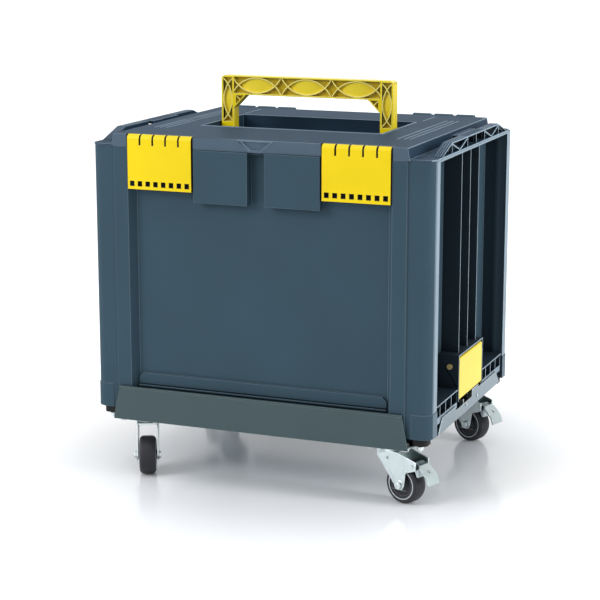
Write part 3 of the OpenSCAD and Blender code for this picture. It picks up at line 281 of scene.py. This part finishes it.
def set_tones(mesh, rule, edge_tone):
    count = len(mesh.polygons)
    index = np.zeros(count, dtype=np.int32)
    middle, normal = np.zeros(count * 3), np.zeros(count * 3)
    mesh.polygons.foreach_get("material_index", index)
    mesh.polygons.foreach_get("center", middle)
    mesh.polygons.foreach_get("normal", normal)
    tone = rule(middle.reshape(-1, 3) / MM, normal.reshape(-1, 3)) if rule else np.zeros(count)
    # A bevel's faces get the painted highlight of an edge, unless they lie in deep painted shade
    lit_bevel = (index == BEVEL_SLOT) & (tone > DARKEST_HIGHLIGHTED) & (tone < edge_tone)
    tone = np.where(lit_bevel, edge_tone, tone)
    mesh.attributes.new("tone", "FLOAT", "FACE").data.foreach_set("value", tone.astype(np.float32))
    mesh.polygons.foreach_set("material_index", np.zeros(count, dtype=np.int32))


def flat_copy(node, cuts):
    bm = bmesh.new()
    bm.from_mesh(NODES[node].data)
    bmesh.ops.remove_doubles(bm, verts=bm.verts, dist=WELD_MM * MM)
    bmesh.ops.dissolve_limit(bm, angle_limit=math.radians(FLAT_DEG), verts=bm.verts, edges=bm.edges)
    for point, across, picked in cuts:
        chosen = [f for f in bm.faces if picked(f.calc_center_median() / MM, f.normal)]
        edges = list({e for f in chosen for e in f.edges})
        corners = list({v for f in chosen for v in f.verts})
        bmesh.ops.bisect_plane(bm, geom=chosen + edges + corners, plane_co=Vector(point) * MM,
                               plane_no=across, dist=ON_PLANE)
    return bm


def weigh_edges(bm, narrow_share, wide):
    share = bm.edges.layers.float.new("bevel_weight_edge")
    for e in bm.edges:
        if not e.smooth:
            middle = (e.verts[0].co + e.verts[1].co) / 2 / MM
            e[share] = 1.0 if wide and wide(middle) else narrow_share


def bevelled(mesh, mat, width_mm):
    mesh.materials.append(mat)
    mesh.materials.append(mat)
    temp = bpy.data.objects.new(mesh.name, mesh)
    bpy.context.scene.collection.objects.link(temp)
    bevel = temp.modifiers.new("edge_radius", "BEVEL")
    bevel.width = width_mm * MM
    bevel.segments = 2
    bevel.limit_method = "WEIGHT"
    bevel.use_clamp_overlap = False
    bevel.miter_outer = "MITER_SHARP"
    bevel.harden_normals = True
    bevel.material = BEVEL_SLOT
    return evaluated_mesh(temp)


def softened(node, mat, slot, width_mm, rule=None, edge_tone=0.6, wide=None, cuts=()):
    bm = flat_copy(node, cuts)
    mark_sharp(bm, SHARP_DEG)
    widest = WIDE_MM if wide else width_mm
    weigh_edges(bm, width_mm / widest, wide)
    mesh = bpy.data.meshes.new(node + "_copy")
    bm.to_mesh(mesh)
    bm.free()
    done = bevelled(mesh, mat, widest)
    done.name = node + "_dressed"
    set_tones(done, rule, edge_tone)
    done.materials.pop(index=BEVEL_SLOT)
    obj = place_piece(done, node + "_dressed", BODY_OF[node], slot, node)
    print(obj.name, len(obj.data.polygons), "faces")


# %% [markdown]
# ## Where each piece gets painted shade and painted highlights
# The side pockets of the case, the windows of the lid's flanges, the sunk
# triangles of the handle and the holes of the latches get painted shade. The
# outermost faces, which catch the light, get painted highlights and are the
# palest. A rule gets the middle of every face and the way it faces. It lists
# places with their tones, and where two places overlap the later one holds.

# %% What the rules share: places in millimetres, and shares of a normal
DEAD_ON, NEARLY, SQUARE, MOSTLY, TOWARDS, HALFWAY, EDGE_ON = 0.97, 0.95, 0.9, 0.8, 0.6, 0.5, 0.3


def box_mm(node):
    return [[round(v / MM, 3) for v in corner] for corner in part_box(node)]


def between(values, ends):
    return (values > ends[0]) & (values < ends[1])


def outward(spot, facing):
    return facing[:, 0] * np.sign(spot[:, 0])


def toned(*rows):
    tone = np.zeros(len(rows[0][0]))
    for picked, value in rows:
        tone[picked] = value
    return tone


# %% The front latches and the walls around them
# The latch's inner side, lower edge and outer side, and the gap all round it
(LATCH_IN_X, _, LATCH_LOW_Z), (LATCH_OUT_X, _, _) = box_mm("front_latch_right")
LATCH_GAP, LATCH_RIM = 1.0, 0.4
LATCH_HOLES_Z = LATCH_LOW_Z + 1.5, LATCH_LOW_Z + 12.5
# The strip of painted shade beside it, and how far the wall behind it, painted dark as shade, peeps out
SHADE_OVER, PEEP_BELOW, PEEP_BESIDE = 0.5, 0.9, 0.3
SHADE_X = LATCH_IN_X - LATCH_GAP - SHADE_OVER, LATCH_OUT_X + LATCH_GAP + SHADE_OVER
# The walls that this paints with shade, counted from the middle of the case and the floor
BAY_Z, BAY_Y, FRONT_Y, UPPER_Z = LATCH_LOW_Z - LATCH_GAP, -160.0, -150.0, 200.0
TUB_Y, TUB_NEAR = -166.0, 0.5


def behind_latch(spot, facing):
    return abs(facing.y) > SQUARE and abs(spot.y - TUB_Y) < TUB_NEAR and spot.z > UPPER_Z


def beside_latch(spot, facing):
    return facing.y < -HALFWAY and spot.y < FRONT_Y and spot.z > UPPER_Z


def in_latch_shade(spot, facing):
    x = abs(spot[:, 0])
    strip = between(x, (SHADE_X[0], LATCH_IN_X)) | between(x, (LATCH_OUT_X, SHADE_X[1]))
    return strip & (spot[:, 2] > BAY_Z) & (spot[:, 1] < BAY_Y) & (facing[:, 1] < -HALFWAY)


def latch_rule(spot, facing):
    x, z = abs(spot[:, 0]), spot[:, 2]
    side = abs(facing[:, 0]) > HALFWAY
    hole = (abs(facing[:, 2]) > EDGE_ON) & between(z, LATCH_HOLES_Z)
    rim = (x < LATCH_IN_X + LATCH_RIM) | (x > LATCH_OUT_X - LATCH_RIM) | (z < LATCH_LOW_Z + LATCH_RIM)
    # Painted shade on the latch's sides, in its holes and along its rim
    return toned((side | hole | rim, -1.0))


def side_latch_rule(spot, facing):
    # A painted highlight on the latch's outer face
    return toned((outward(spot, facing) > SQUARE, 0.3))


# %% The case: its side pockets, its posts and the walls behind the latches
# A pocket's inner wall, ends and heights, then what stands in it and beside it
POCKET_X, POCKET_Y, POCKET_Z = 198.0, 153.0, (91.0, 430.5)
POST_WALL_Y, FIN_X, CHEEK_Y, CHEEK_TOP = 145.0, 219.0, (49.0, 58.0), 164.0
POST_X, POST_Y, POST_Z = 226.0, 150.0, 89.0
BEHIND_X, BEHIND_Y = (LATCH_IN_X - LATCH_GAP / 2, LATCH_OUT_X + LATCH_GAP), (-173.0, BAY_Y)


def case_rule(spot, facing):
    x, y, z, out = abs(spot[:, 0]), abs(spot[:, 1]), spot[:, 2], outward(spot, facing)
    pocket = (x > POCKET_X) & (y < POCKET_Y) & between(z, POCKET_Z)
    post_wall = pocket & (y > POST_WALL_Y) & (facing[:, 1] * np.sign(spot[:, 1]) < -SQUARE)
    fin = pocket & (out > TOWARDS) & (x > FIN_X)
    cheek = pocket & (out > TOWARDS) & between(y, CHEEK_Y) & (z < CHEEK_TOP)
    post = (out > NEARLY) & (x > POST_X) & (y > POST_Y) & (z > POST_Z)
    behind = between(x, BEHIND_X) & between(spot[:, 1], BEHIND_Y) & (z > BAY_Z)
    # Painted shade in the pockets, a little less on the posts' inner walls and the cheeks; painted
    # highlights on fin fronts and post sides; black painted shade behind and beside the latches
    return toned((pocket, -0.75), (post_wall, -0.6), (fin, 0.8), (cheek, -0.3), (post, 0.35),
                 (behind | in_latch_shade(spot, facing), -1.0))


# %% The lid: its flanges, its platform and the recess of the handle
# The side flanges with their windows, the raised platform, the front with the
# bays of the latches, and the recess: each from where it starts, and some to where
WINDOW_X, WINDOW_Y, WINDOW_Z, FLANGE_X, FLANGE_Z = 208.0, 163.0, 432.0, 222.0, 431.5
PLATFORM_X, PLATFORM_NEAR, PLATFORM_Y = 195.0, 0.6, 145.0
PLATFORM_EDGE_Z, PLATFORM_TOP_Z = 446.0, 447.3
LID_FRONT_X, LID_FRONT_Y, LATCH_BAY_Y = 200.0, -165.0, -171.6
RECESS_X, RECESS_Y, RECESS_Z = 140.0, 120.0, (435.0, 446.9)


def lid_rule(spot, facing):
    x, y, z, out = abs(spot[:, 0]), abs(spot[:, 1]), spot[:, 2], outward(spot, facing)
    up, front = facing[:, 2], -facing[:, 1]
    window = (x > WINDOW_X) & (y < WINDOW_Y) & (z > WINDOW_Z) & (up < EDGE_ON) & (out > -EDGE_ON)
    flange = (out > TOWARDS) & (x > FLANGE_X) & (z > FLANGE_Z)
    platform = (z > PLATFORM_TOP_Z) & (y < PLATFORM_Y)
    lid_front = (front > TOWARDS) & (spot[:, 1] < LID_FRONT_Y) & (x < LID_FRONT_X)
    recess_wall = (x < RECESS_X) & (y < RECESS_Y) & between(z, RECESS_Z) & (abs(up) < EDGE_ON)
    bay = between(x, SHADE_X) & (spot[:, 1] < LATCH_BAY_Y)
    # Painted shade in the flanges' windows, on the recess walls and in the latches' bays; painted
    # highlights on the flanges, the platform's top and the lid's front
    return toned((window, -0.9), (flange, 0.85), (platform, 0.45), (lid_front, 0.22),
                 (recess_wall, -0.2), (bay | in_latch_shade(spot, facing), -1.0))


def platform_edge(middle):
    return abs(abs(middle.x) - PLATFORM_X) < PLATFORM_NEAR and middle.z > PLATFORM_EDGE_Z


# %% The handle: painted shade in sunk triangles, painted highlights on its rim and grip
# Its middle plane, and how far from it each level lies
HANDLE_MID_Y, HANDLE_FOOT_Z, HANDLE_TOP_Z = -3.0, 447.0, 505.0
SUNK_DEEP, STEP_DEEP, WALL_DEEP, RIM_DEEP = 2.8, (2.8, 6.0), 7.2, (7.0, 7.7)


def handle_rule(spot, facing):
    deep, z, front, up = abs(spot[:, 1] - HANDLE_MID_Y), spot[:, 2], abs(facing[:, 1]), facing[:, 2]
    wall = (front < EDGE_ON) & (deep < WALL_DEEP) & (z > HANDLE_FOOT_Z)
    sunk = (front > DEAD_ON) & (deep < SUNK_DEEP)
    step = (front > MOSTLY) & between(deep, STEP_DEEP)
    rim = (front > DEAD_ON) & between(deep, RIM_DEEP)
    grip = (up > MOSTLY) & (z > HANDLE_TOP_Z)
    # Painted shade on the walls and floors of the sunk triangles, painted highlights on the step, rim and
    # grip
    return toned((wall, -0.35), (sunk, -0.55), (step, 0.1), (rim, 0.7), (grip, 0.75))


# %% The wheels and forks, each turned its own way
# The hollow between hub and rim, and the inside of the fork, from the wheel's middle
WEB_RADIUS, WEB_DEEP, FORK_INSIDE, CROWN_Z = (9.0, 14.0), 8.0, 12.3, 55.0


def axle_way(heading):
    return np.array([-math.sin(heading), math.cos(heading), 0.0])


def wheel_rule(middle, heading):
    def rule(spot, facing):
        along = (spot - middle) @ axle_way(heading)
        radius = np.linalg.norm(spot - middle - along[:, None] * axle_way(heading), axis=1)
        # Painted shade in the hollow between hub and rim
        return toned((between(radius, WEB_RADIUS) & (abs(along) < WEB_DEEP), -0.5))
    return rule


def fork_rule(middle, heading):
    def rule(spot, facing):
        aside = (spot - middle) @ axle_way(heading)
        inner = abs(aside) < FORK_INSIDE
        cheek = inner & ((facing @ axle_way(heading)) * np.sign(aside) < -SQUARE)
        crown = inner & (facing[:, 2] > SQUARE) & (spot[:, 2] > CROWN_Z)
        # Painted shade on the fork's inner cheeks and under its crown
        return toned((cheek, -0.6), (crown, -0.75))
    return rule


def pedal_rule(spot, facing):
    return np.full(len(spot), -0.25)


# %% The case, its lid, handle and latches
ALONG_X, ALONG_Z = (1, 0, 0), (0, 0, 1)
# Cuts where the painted shade behind and beside the latches starts
BEHIND_LOW = (0, 0, LATCH_LOW_Z - PEEP_BELOW), ALONG_Z, behind_latch
BEHIND_SIDES = [((side * (LATCH_IN_X - PEEP_BESIDE), 0, 0), ALONG_X, behind_latch) for side in (-1, 1)]
SHADE_SIDES = [((side * x, 0, 0), ALONG_X, beside_latch) for side in (-1, 1) for x in SHADE_X]
softened("case_body", case_plastic, "case_plastic", 0.5, case_rule, edge_tone=0.18,
         cuts=(BEHIND_LOW, *BEHIND_SIDES, *SHADE_SIDES))
softened("lid", lid_plastic, "case_plastic", 0.35, lid_rule, wide=platform_edge, cuts=SHADE_SIDES)
softened("handle", handle_plastic, "latch_plastic", 0.35, handle_rule)
for side in ("left", "right"):
    softened("front_latch_" + side, latch_plastic, "latch_plastic", 0.4, latch_rule, edge_tone=0.4)
    softened("side_latch_" + side, latch_plastic, "latch_plastic", 0.4, side_latch_rule)
softened("lid_seal", black_rubber, "black_rubber", 1.0)

# %% The trolley
softened("trolley_deck", deck_zinc, "zinc_steel", 0.5)
softened("trolley_front_panel", panel_paint, "panel_paint", 0.5)
softened("trolley_rear_panel", panel_paint, "panel_paint", 0.5)
softened("corner_pads", black_rubber, "black_rubber", 0.8)
softened("latch_keepers", zinc_steel, "zinc_steel", 0.3)

# %% The casters, with the way that each has turned, in degrees
HEADINGS = {"fl": -66, "fr": -20, "bl": 200, "br": -20}
for tag, heading_deg in HEADINGS.items():
    low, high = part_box("wheel_hub_" + tag)
    middle = (np.array(low) + np.array(high)) / 2 / MM
    heading = math.radians(heading_deg)
    softened("caster_plate_" + tag, zinc_steel, "zinc_steel", 0.4)
    softened("caster_fork_" + tag, zinc_steel, "zinc_steel", 0.5, fork_rule(middle, heading))
    softened("wheel_hub_" + tag, hub_plastic, "wheel_plastic", 0.4, wheel_rule(middle, heading),
             edge_tone=0.2)
    softened("tyre_" + tag, tyre_rubber, "tyre_rubber", 0.6)
    softened("axle_" + tag, zinc_steel, "zinc_steel", 0.4)
for tag in ("fr", "br"):
    softened("brake_pedal_" + tag, zinc_steel, "zinc_steel", 0.4, pedal_rule)

# %% [markdown]
# ## The pale ring on each wheel
# Where the grey rubber was moulded round the wheel's centre, the centre's rim
# shows as a thin pale ring on both sides. It is a small closed ring, turned
# round the axle, that stands a hair proud of the rubber.

# %% Wheel rings
RING_IN, RING_OUT, RING_SIDE, RING_PROUD = 18.0, 19.3, 9.9, 10.75
CHAMFER_WIDE, CHAMFER_HIGH, RING_STEPS, RING_SHARP_DEG = 0.3, 0.2, 72, 40
SHOULDER = RING_PROUD - CHAMFER_HIGH
RING_PROFILE = ((RING_IN, RING_SIDE), (RING_IN, SHOULDER), (RING_IN + CHAMFER_WIDE, RING_PROUD),
                (RING_OUT - CHAMFER_WIDE, RING_PROUD), (RING_OUT, SHOULDER), (RING_OUT, RING_SIDE))
ring_plastic = moulded("moulded_pale_grey_rim", ("#8d9296", "#c3c9cd", "#dfe4e6"), roughness=0.45,
                       grain_mm=1.0, depth_mm=0.05, reach_mm=4, ior=1.5, specular=0.4, darkest_painted_shade=0.7)


def add_ring(bm, middle, forward, axle):
    rows = []
    for i in range(RING_STEPS):
        a = math.tau * i / RING_STEPS
        out = forward * math.cos(a) + Vector((0, 0, 1)) * math.sin(a)
        rows.append([bm.verts.new(middle + out * r * MM + axle * d * MM) for r, d in RING_PROFILE])
    for i in range(RING_STEPS):
        one, two = rows[i], rows[(i + 1) % RING_STEPS]
        for j in range(len(one)):
            k = (j + 1) % len(one)
            bm.faces.new((one[j], one[k], two[k], two[j]))


for tag, heading_deg in HEADINGS.items():
    low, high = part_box("wheel_hub_" + tag)
    middle = (Vector(low) + Vector(high)) / 2
    turn = math.radians(heading_deg)
    forward = Vector((math.cos(turn), math.sin(turn), 0))
    axle = Vector((-math.sin(turn), math.cos(turn), 0))
    bm = bmesh.new()
    add_ring(bm, middle, forward, -axle)
    add_ring(bm, middle, forward, axle)
    bmesh.ops.recalc_face_normals(bm, faces=bm.faces)
    mark_sharp(bm, RING_SHARP_DEG)
    mesh = bpy.data.meshes.new("wheel_ring_" + tag)
    bm.to_mesh(mesh)
    bm.free()
    mesh.materials.append(ring_plastic)
    set_tones(mesh, None, 0.0)
    place_piece(mesh, "wheel_ring_" + tag, BODY_OF["wheel_hub_" + tag], "wheel_plastic")
print("rings from radius", RING_IN, "to", RING_OUT, "mm")

# %% [markdown]
# ## Bolts, nuts and screws
# The same few fasteners come sixteen or eight times. Geometry Nodes suit them:
# one tree stacks rings into a turned or hexagonal head, puts a copy on every
# point, can turn each by its own angle, and takes its sizes from named inputs.
# The points come from the box that the frame gives for the solids.

# %% A tree that turns a profile and repeats it
INPUTS = {"Places": "Geometry", "Radius": "Float", "Height": "Float", "Sides": "Int", "Turn": "Float",
          "Seed": "Int", "Finish": "Material"}
RING_WELD, TURNED_SHARP_DEG = 0.0005, 30


def fastener_tree(name, rings):
    tree = bpy.data.node_groups.new(name, "GeometryNodeTree")
    for label, kind in INPUTS.items():
        tree.interface.new_socket(name=label, in_out="INPUT", socket_type="NodeSocket" + kind)
    tree.interface.new_socket(name="Geometry", in_out="OUTPUT", socket_type="NodeSocketGeometry")
    given = tree.nodes.new("NodeGroupInput").outputs
    parts = add(tree, "GeometryNodeJoinGeometry")
    for radius, height in (rings[0], rings[-1]):
        if radius > 0:
            cap = add(tree, "GeometryNodeMeshCircle", {"Vertices": given["Sides"]}, {"Radius": radius},
                      fill_type="NGON")
            put = add(tree, "GeometryNodeTransform", {"Geometry": cap.outputs["Mesh"]},
                      {"Translation": (0, 0, height)})
            tree.links.new(put.outputs[0], parts.inputs[0])
    for (r0, z0), (r1, z1) in zip(rings, rings[1:]):
        band = add(tree, "GeometryNodeMeshCone", {"Vertices": given["Sides"]},
                   {"Radius Bottom": r0, "Radius Top": r1, "Depth": z1 - z0}, fill_type="NONE")
        put = add(tree, "GeometryNodeTransform", {"Geometry": band.outputs["Mesh"]},
                  {"Translation": (0, 0, z0)})
        tree.links.new(put.outputs[0], parts.inputs[0])
    welded = add(tree, "GeometryNodeMergeByDistance", {"Geometry": parts.outputs[0]},
                 {"Distance": RING_WELD})
    size = add(tree, "ShaderNodeCombineXYZ",
               {"X": given["Radius"], "Y": given["Radius"], "Z": given["Height"]})
    scaled = add(tree, "GeometryNodeTransform",
                 {"Geometry": welded.outputs[0], "Scale": size.outputs[0]})
    angle = add(tree, "FunctionNodeRandomValue", {"Max": given["Turn"], "Seed": given["Seed"]},
                data_type="FLOAT")
    spin = add(tree, "ShaderNodeCombineXYZ", {"Z": angle.outputs["Value"]})
    copies = add(tree, "GeometryNodeInstanceOnPoints",
                 {"Points": given["Places"], "Instance": scaled.outputs[0], "Rotation": spin.outputs[0]})
    real = add(tree, "GeometryNodeRealizeInstances", {"Geometry": copies.outputs[0]})
    dressed = add(tree, "GeometryNodeSetMaterial",
                  {"Geometry": real.outputs[0], "Material": given["Finish"]})
    out = tree.nodes.new("NodeGroupOutput")
    tree.links.new(dressed.outputs[0], out.inputs["Geometry"])
    return tree


def fasteners(tree, places, radius_mm, height_mm, sides, turn, seed, mat):
    points = bpy.data.meshes.new("places")
    points.from_pydata([tuple(v * MM for v in p) for p in places], [], [])
    temp = bpy.data.objects.new("places", points)
    bpy.context.scene.collection.objects.link(temp)
    mod = temp.modifiers.new("fasteners", "NODES")
    mod.node_group = tree
    given = {"Radius": radius_mm * MM, "Height": height_mm * MM, "Sides": sides, "Turn": turn,
             "Seed": seed, "Finish": mat}
    for item in tree.interface.items_tree:
        if item.in_out == "INPUT" and item.name in given:
            mod[item.identifier] = given[item.name]
    return evaluated_mesh(temp)


def joined(name, node, slot, *meshes):
    bm = bmesh.new()
    for mesh in meshes:
        bm.from_mesh(mesh)
    bmesh.ops.recalc_face_normals(bm, faces=bm.faces)
    mark_sharp(bm, TURNED_SHARP_DEG)
    mesh = bpy.data.meshes.new(name)
    bm.to_mesh(mesh)
    bm.free()
    mesh.materials.append(meshes[0].materials[0])
    set_tones(mesh, None, 0.0)
    for old in meshes:
        bpy.data.meshes.remove(old)
    place_piece(mesh, name, BODY_OF[node], slot, node)
    print(name, len(mesh.polygons), "faces")


# %% The profiles, as shares of the radius and the height
DOME = (0.96, 0.0), (1.0, 0.08), (1.0, 0.3), (0.93, 0.62), (0.74, 0.86), (0.45, 0.97), (0.0, 1.0)
NUT = (0.86, 0.0), (0.92, 0.03), (1.0, 0.14), (1.0, 0.86), (0.92, 0.97), (0.86, 1.0)
dome = fastener_tree("domed_head", DOME)
hexagon = fastener_tree("hexagon_nut", NUT)
shank_end = fastener_tree("shank_end", ((1.0, 0.0), (1.0, 0.7), (0.82, 1.0)))
print("profiles:", dome.name, hexagon.name, shank_end.name)

# %% Put the caster bolts and nuts on
BOLT_PITCH, NUT_R, NUT_H, HEAD_R, HEAD_H, BOLT_R, TIP_H = 46.0, 5.2, 4.0, 5.0, 2.6, 2.9, 4.0
HEAD_SIDES, TIP_SIDES, NUT_SIDES, NO_TURN, NUT_TURN, BOLT_SEED, NUT_SEED = 32, 20, 6, 0.0, 1.0, 1, 7
BOTH_WAYS = [(sx, sy) for sx in (-1, 1) for sy in (-1, 1)]


def outermost(node, head_r):
    low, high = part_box(node)
    return high[0] / MM - head_r, high[1] / MM - head_r, low[2] / MM, high[2] / MM


far_x, far_y, bolt_low, bolt_high = outermost("caster_bolts", HEAD_R)
nut_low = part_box("caster_nuts")[0][2] / MM
bolt_xy = [(sx * (far_x - i * BOLT_PITCH), sy * (far_y - j * BOLT_PITCH))
           for sx, sy in BOTH_WAYS for i in (0, 1) for j in (0, 1)]
heads = fasteners(dome, [(x, y, bolt_high - HEAD_H) for x, y in bolt_xy], HEAD_R, HEAD_H,
                  HEAD_SIDES, NO_TURN, BOLT_SEED, zinc_steel)
tips = fasteners(dome, [(x, y, bolt_low + TIP_H) for x, y in bolt_xy], BOLT_R, -TIP_H,
                 TIP_SIDES, NO_TURN, BOLT_SEED, zinc_steel)
joined("caster_bolts_turned", "caster_bolts", "zinc_steel", heads, tips)
nuts = fasteners(hexagon, [(x, y, nut_low) for x, y in bolt_xy], NUT_R, NUT_H,
                 NUT_SIDES, NUT_TURN, NUT_SEED, zinc_steel)
joined("caster_nuts_chamfered", "caster_nuts", "zinc_steel", nuts)

# %% Put the panel screws on
PANEL_HEAD_R, PANEL_HEAD_H, PANEL_NEAR, SHANK_R, SHANK_END_H = 4.2, 2.6, 50.0, 2.0, 3.0
PANEL_HEAD_SIDES, SHANK_SIDES, SCREW_SEED = 28, 16, 3
screw_x, screw_y, screw_low, screw_high = outermost("panel_screws", PANEL_HEAD_R)
screw_xy = [(sx * x, sy * screw_y) for sx, sy in BOTH_WAYS for x in (PANEL_NEAR, screw_x)]
screw_heads = fasteners(dome, [(x, y, screw_low + PANEL_HEAD_H) for x, y in screw_xy],
                        PANEL_HEAD_R, -PANEL_HEAD_H, PANEL_HEAD_SIDES, NO_TURN, SCREW_SEED, zinc_steel)
screw_tips = fasteners(shank_end, [(x, y, screw_high - SHANK_END_H) for x, y in screw_xy],
                       SHANK_R, SHANK_END_H, SHANK_SIDES, NO_TURN, SCREW_SEED, zinc_steel)
joined("panel_screws_turned", "panel_screws", "zinc_steel", screw_heads, screw_tips)

# %% Finishes on the solids that stay as they are
OWN_FINISH = {"side_wall_screws": brass_metal}
shown = sorted(n for n, o in NODES.items() if not o.hide_render)
for name in shown:
    for place in NODES[name].material_slots:
        place.material = OWN_FINISH.get(name, zinc_steel)
print("solids that keep their own mesh:", shown)

# %% [markdown]
# ## Floor and light
# The case stands on a white studio floor with a soft gloss near its wheels.
# Away from the case the floor is white to the camera and in reflections, and so
# is the backdrop. To the rest of the light both are an ordinary pale surface,
# so that the shadow under the trolley stays.

# %% Floor
FLOOR_HALF, FLOOR_CELLS = 12.0, 8
SHADOW_TO, WHITE_FROM, WHITE_GLOW = 0.17, 0.56, 0.5


def seen_directly(tree):
    path = add(tree, "ShaderNodeLightPath")
    camera_ray, glossy_ray = path.outputs["Is Camera Ray"], path.outputs["Is Glossy Ray"]
    seen = add(tree, "ShaderNodeMath", {0: camera_ray, 1: glossy_ray}, operation="MAXIMUM")
    through = {0: seen.outputs[0], 1: path.outputs["Is Transmission Ray"]}
    return add(tree, "ShaderNodeMath", through, operation="MAXIMUM").outputs[0]


floor_mesh = bpy.data.meshes.new("studio_floor")
bm = bmesh.new()
bmesh.ops.create_grid(bm, x_segments=FLOOR_CELLS, y_segments=FLOOR_CELLS, size=FLOOR_HALF)
bm.to_mesh(floor_mesh)
bm.free()
floor = bpy.data.objects.new("studio_floor", floor_mesh)
bpy.context.scene.collection.objects.link(floor)
floor_mat, tree, shader, place = new_finish("satin_white_floor", "#fbfcff", 0.16, specular=0.5)
away = add(tree, "ShaderNodeVectorMath", {0: place}, operation="LENGTH")
whiter = add(tree, "ShaderNodeMapRange", {"Value": away.outputs["Value"]},
             {"From Min": SHADOW_TO, "From Max": WHITE_FROM, "To Min": 0.0, "To Max": WHITE_GLOW},
             interpolation_type="SMOOTHSTEP")
glow = add(tree, "ShaderNodeMath", {0: seen_directly(tree), 1: whiter.outputs["Result"]},
           operation="MULTIPLY")
shader.inputs["Emission Color"].default_value = (1, 1, 1, 1)
tree.links.new(glow.outputs[0], shader.inputs["Emission Strength"])
floor_mesh.materials.append(floor_mat)
print("floor:", floor_mat.name, "white from", WHITE_FROM, "m outwards")

# %% Backdrop
world = bpy.data.worlds.new("studio_white")
bpy.context.scene.world = world
world.use_nodes = True
world_tree = world.node_tree
sky = world_tree.nodes["Background"]
sky.inputs["Color"].default_value = (0.93, 0.97, 1.0, 1)
sky.inputs["Strength"].default_value = 0.42
backdrop = add(world_tree, "ShaderNodeBackground", values={"Color": (1, 1, 1, 1), "Strength": 1.0})
blend = add(world_tree, "ShaderNodeMixShader",
            {0: seen_directly(world_tree), 1: sky.outputs[0], 2: backdrop.outputs[0]})
world_tree.links.new(blend.outputs[0], world_tree.nodes["World Output"].inputs["Surface"])
print("backdrop:", world.name)


# %% Lamps: place and aim in metres, size in metres, power in watts
def lamp(name, place, aim, size, watts):
    data = bpy.data.lights.new(name, "AREA")
    data.shape = "RECTANGLE"
    data.size, data.size_y = size
    data.energy = watts
    obj = bpy.data.objects.new(name, data)
    bpy.context.scene.collection.objects.link(obj)
    obj.location = place
    obj.rotation_euler = (Vector(aim) - Vector(place)).to_track_quat("-Z", "Y").to_euler()


lamp("key_softbox", (-2.3, -2.8, 2.1), (0, 0, 0.3), (1.8, 1.8), 68)
lamp("top_softbox", (-0.2, -0.5, 2.8), (0, 0, 0.3), (2.4, 2.4), 22)
lamp("edge_strip", (2.3, -0.1, 0.9), (0.2, 0, 0.3), (0.4, 1.6), 26)
lamp("back_softbox", (0.6, 2.4, 1.8), (0, 0, 0.3), (1.4, 1.4), 8)
bpy.context.scene.view_settings.view_transform = "Standard"
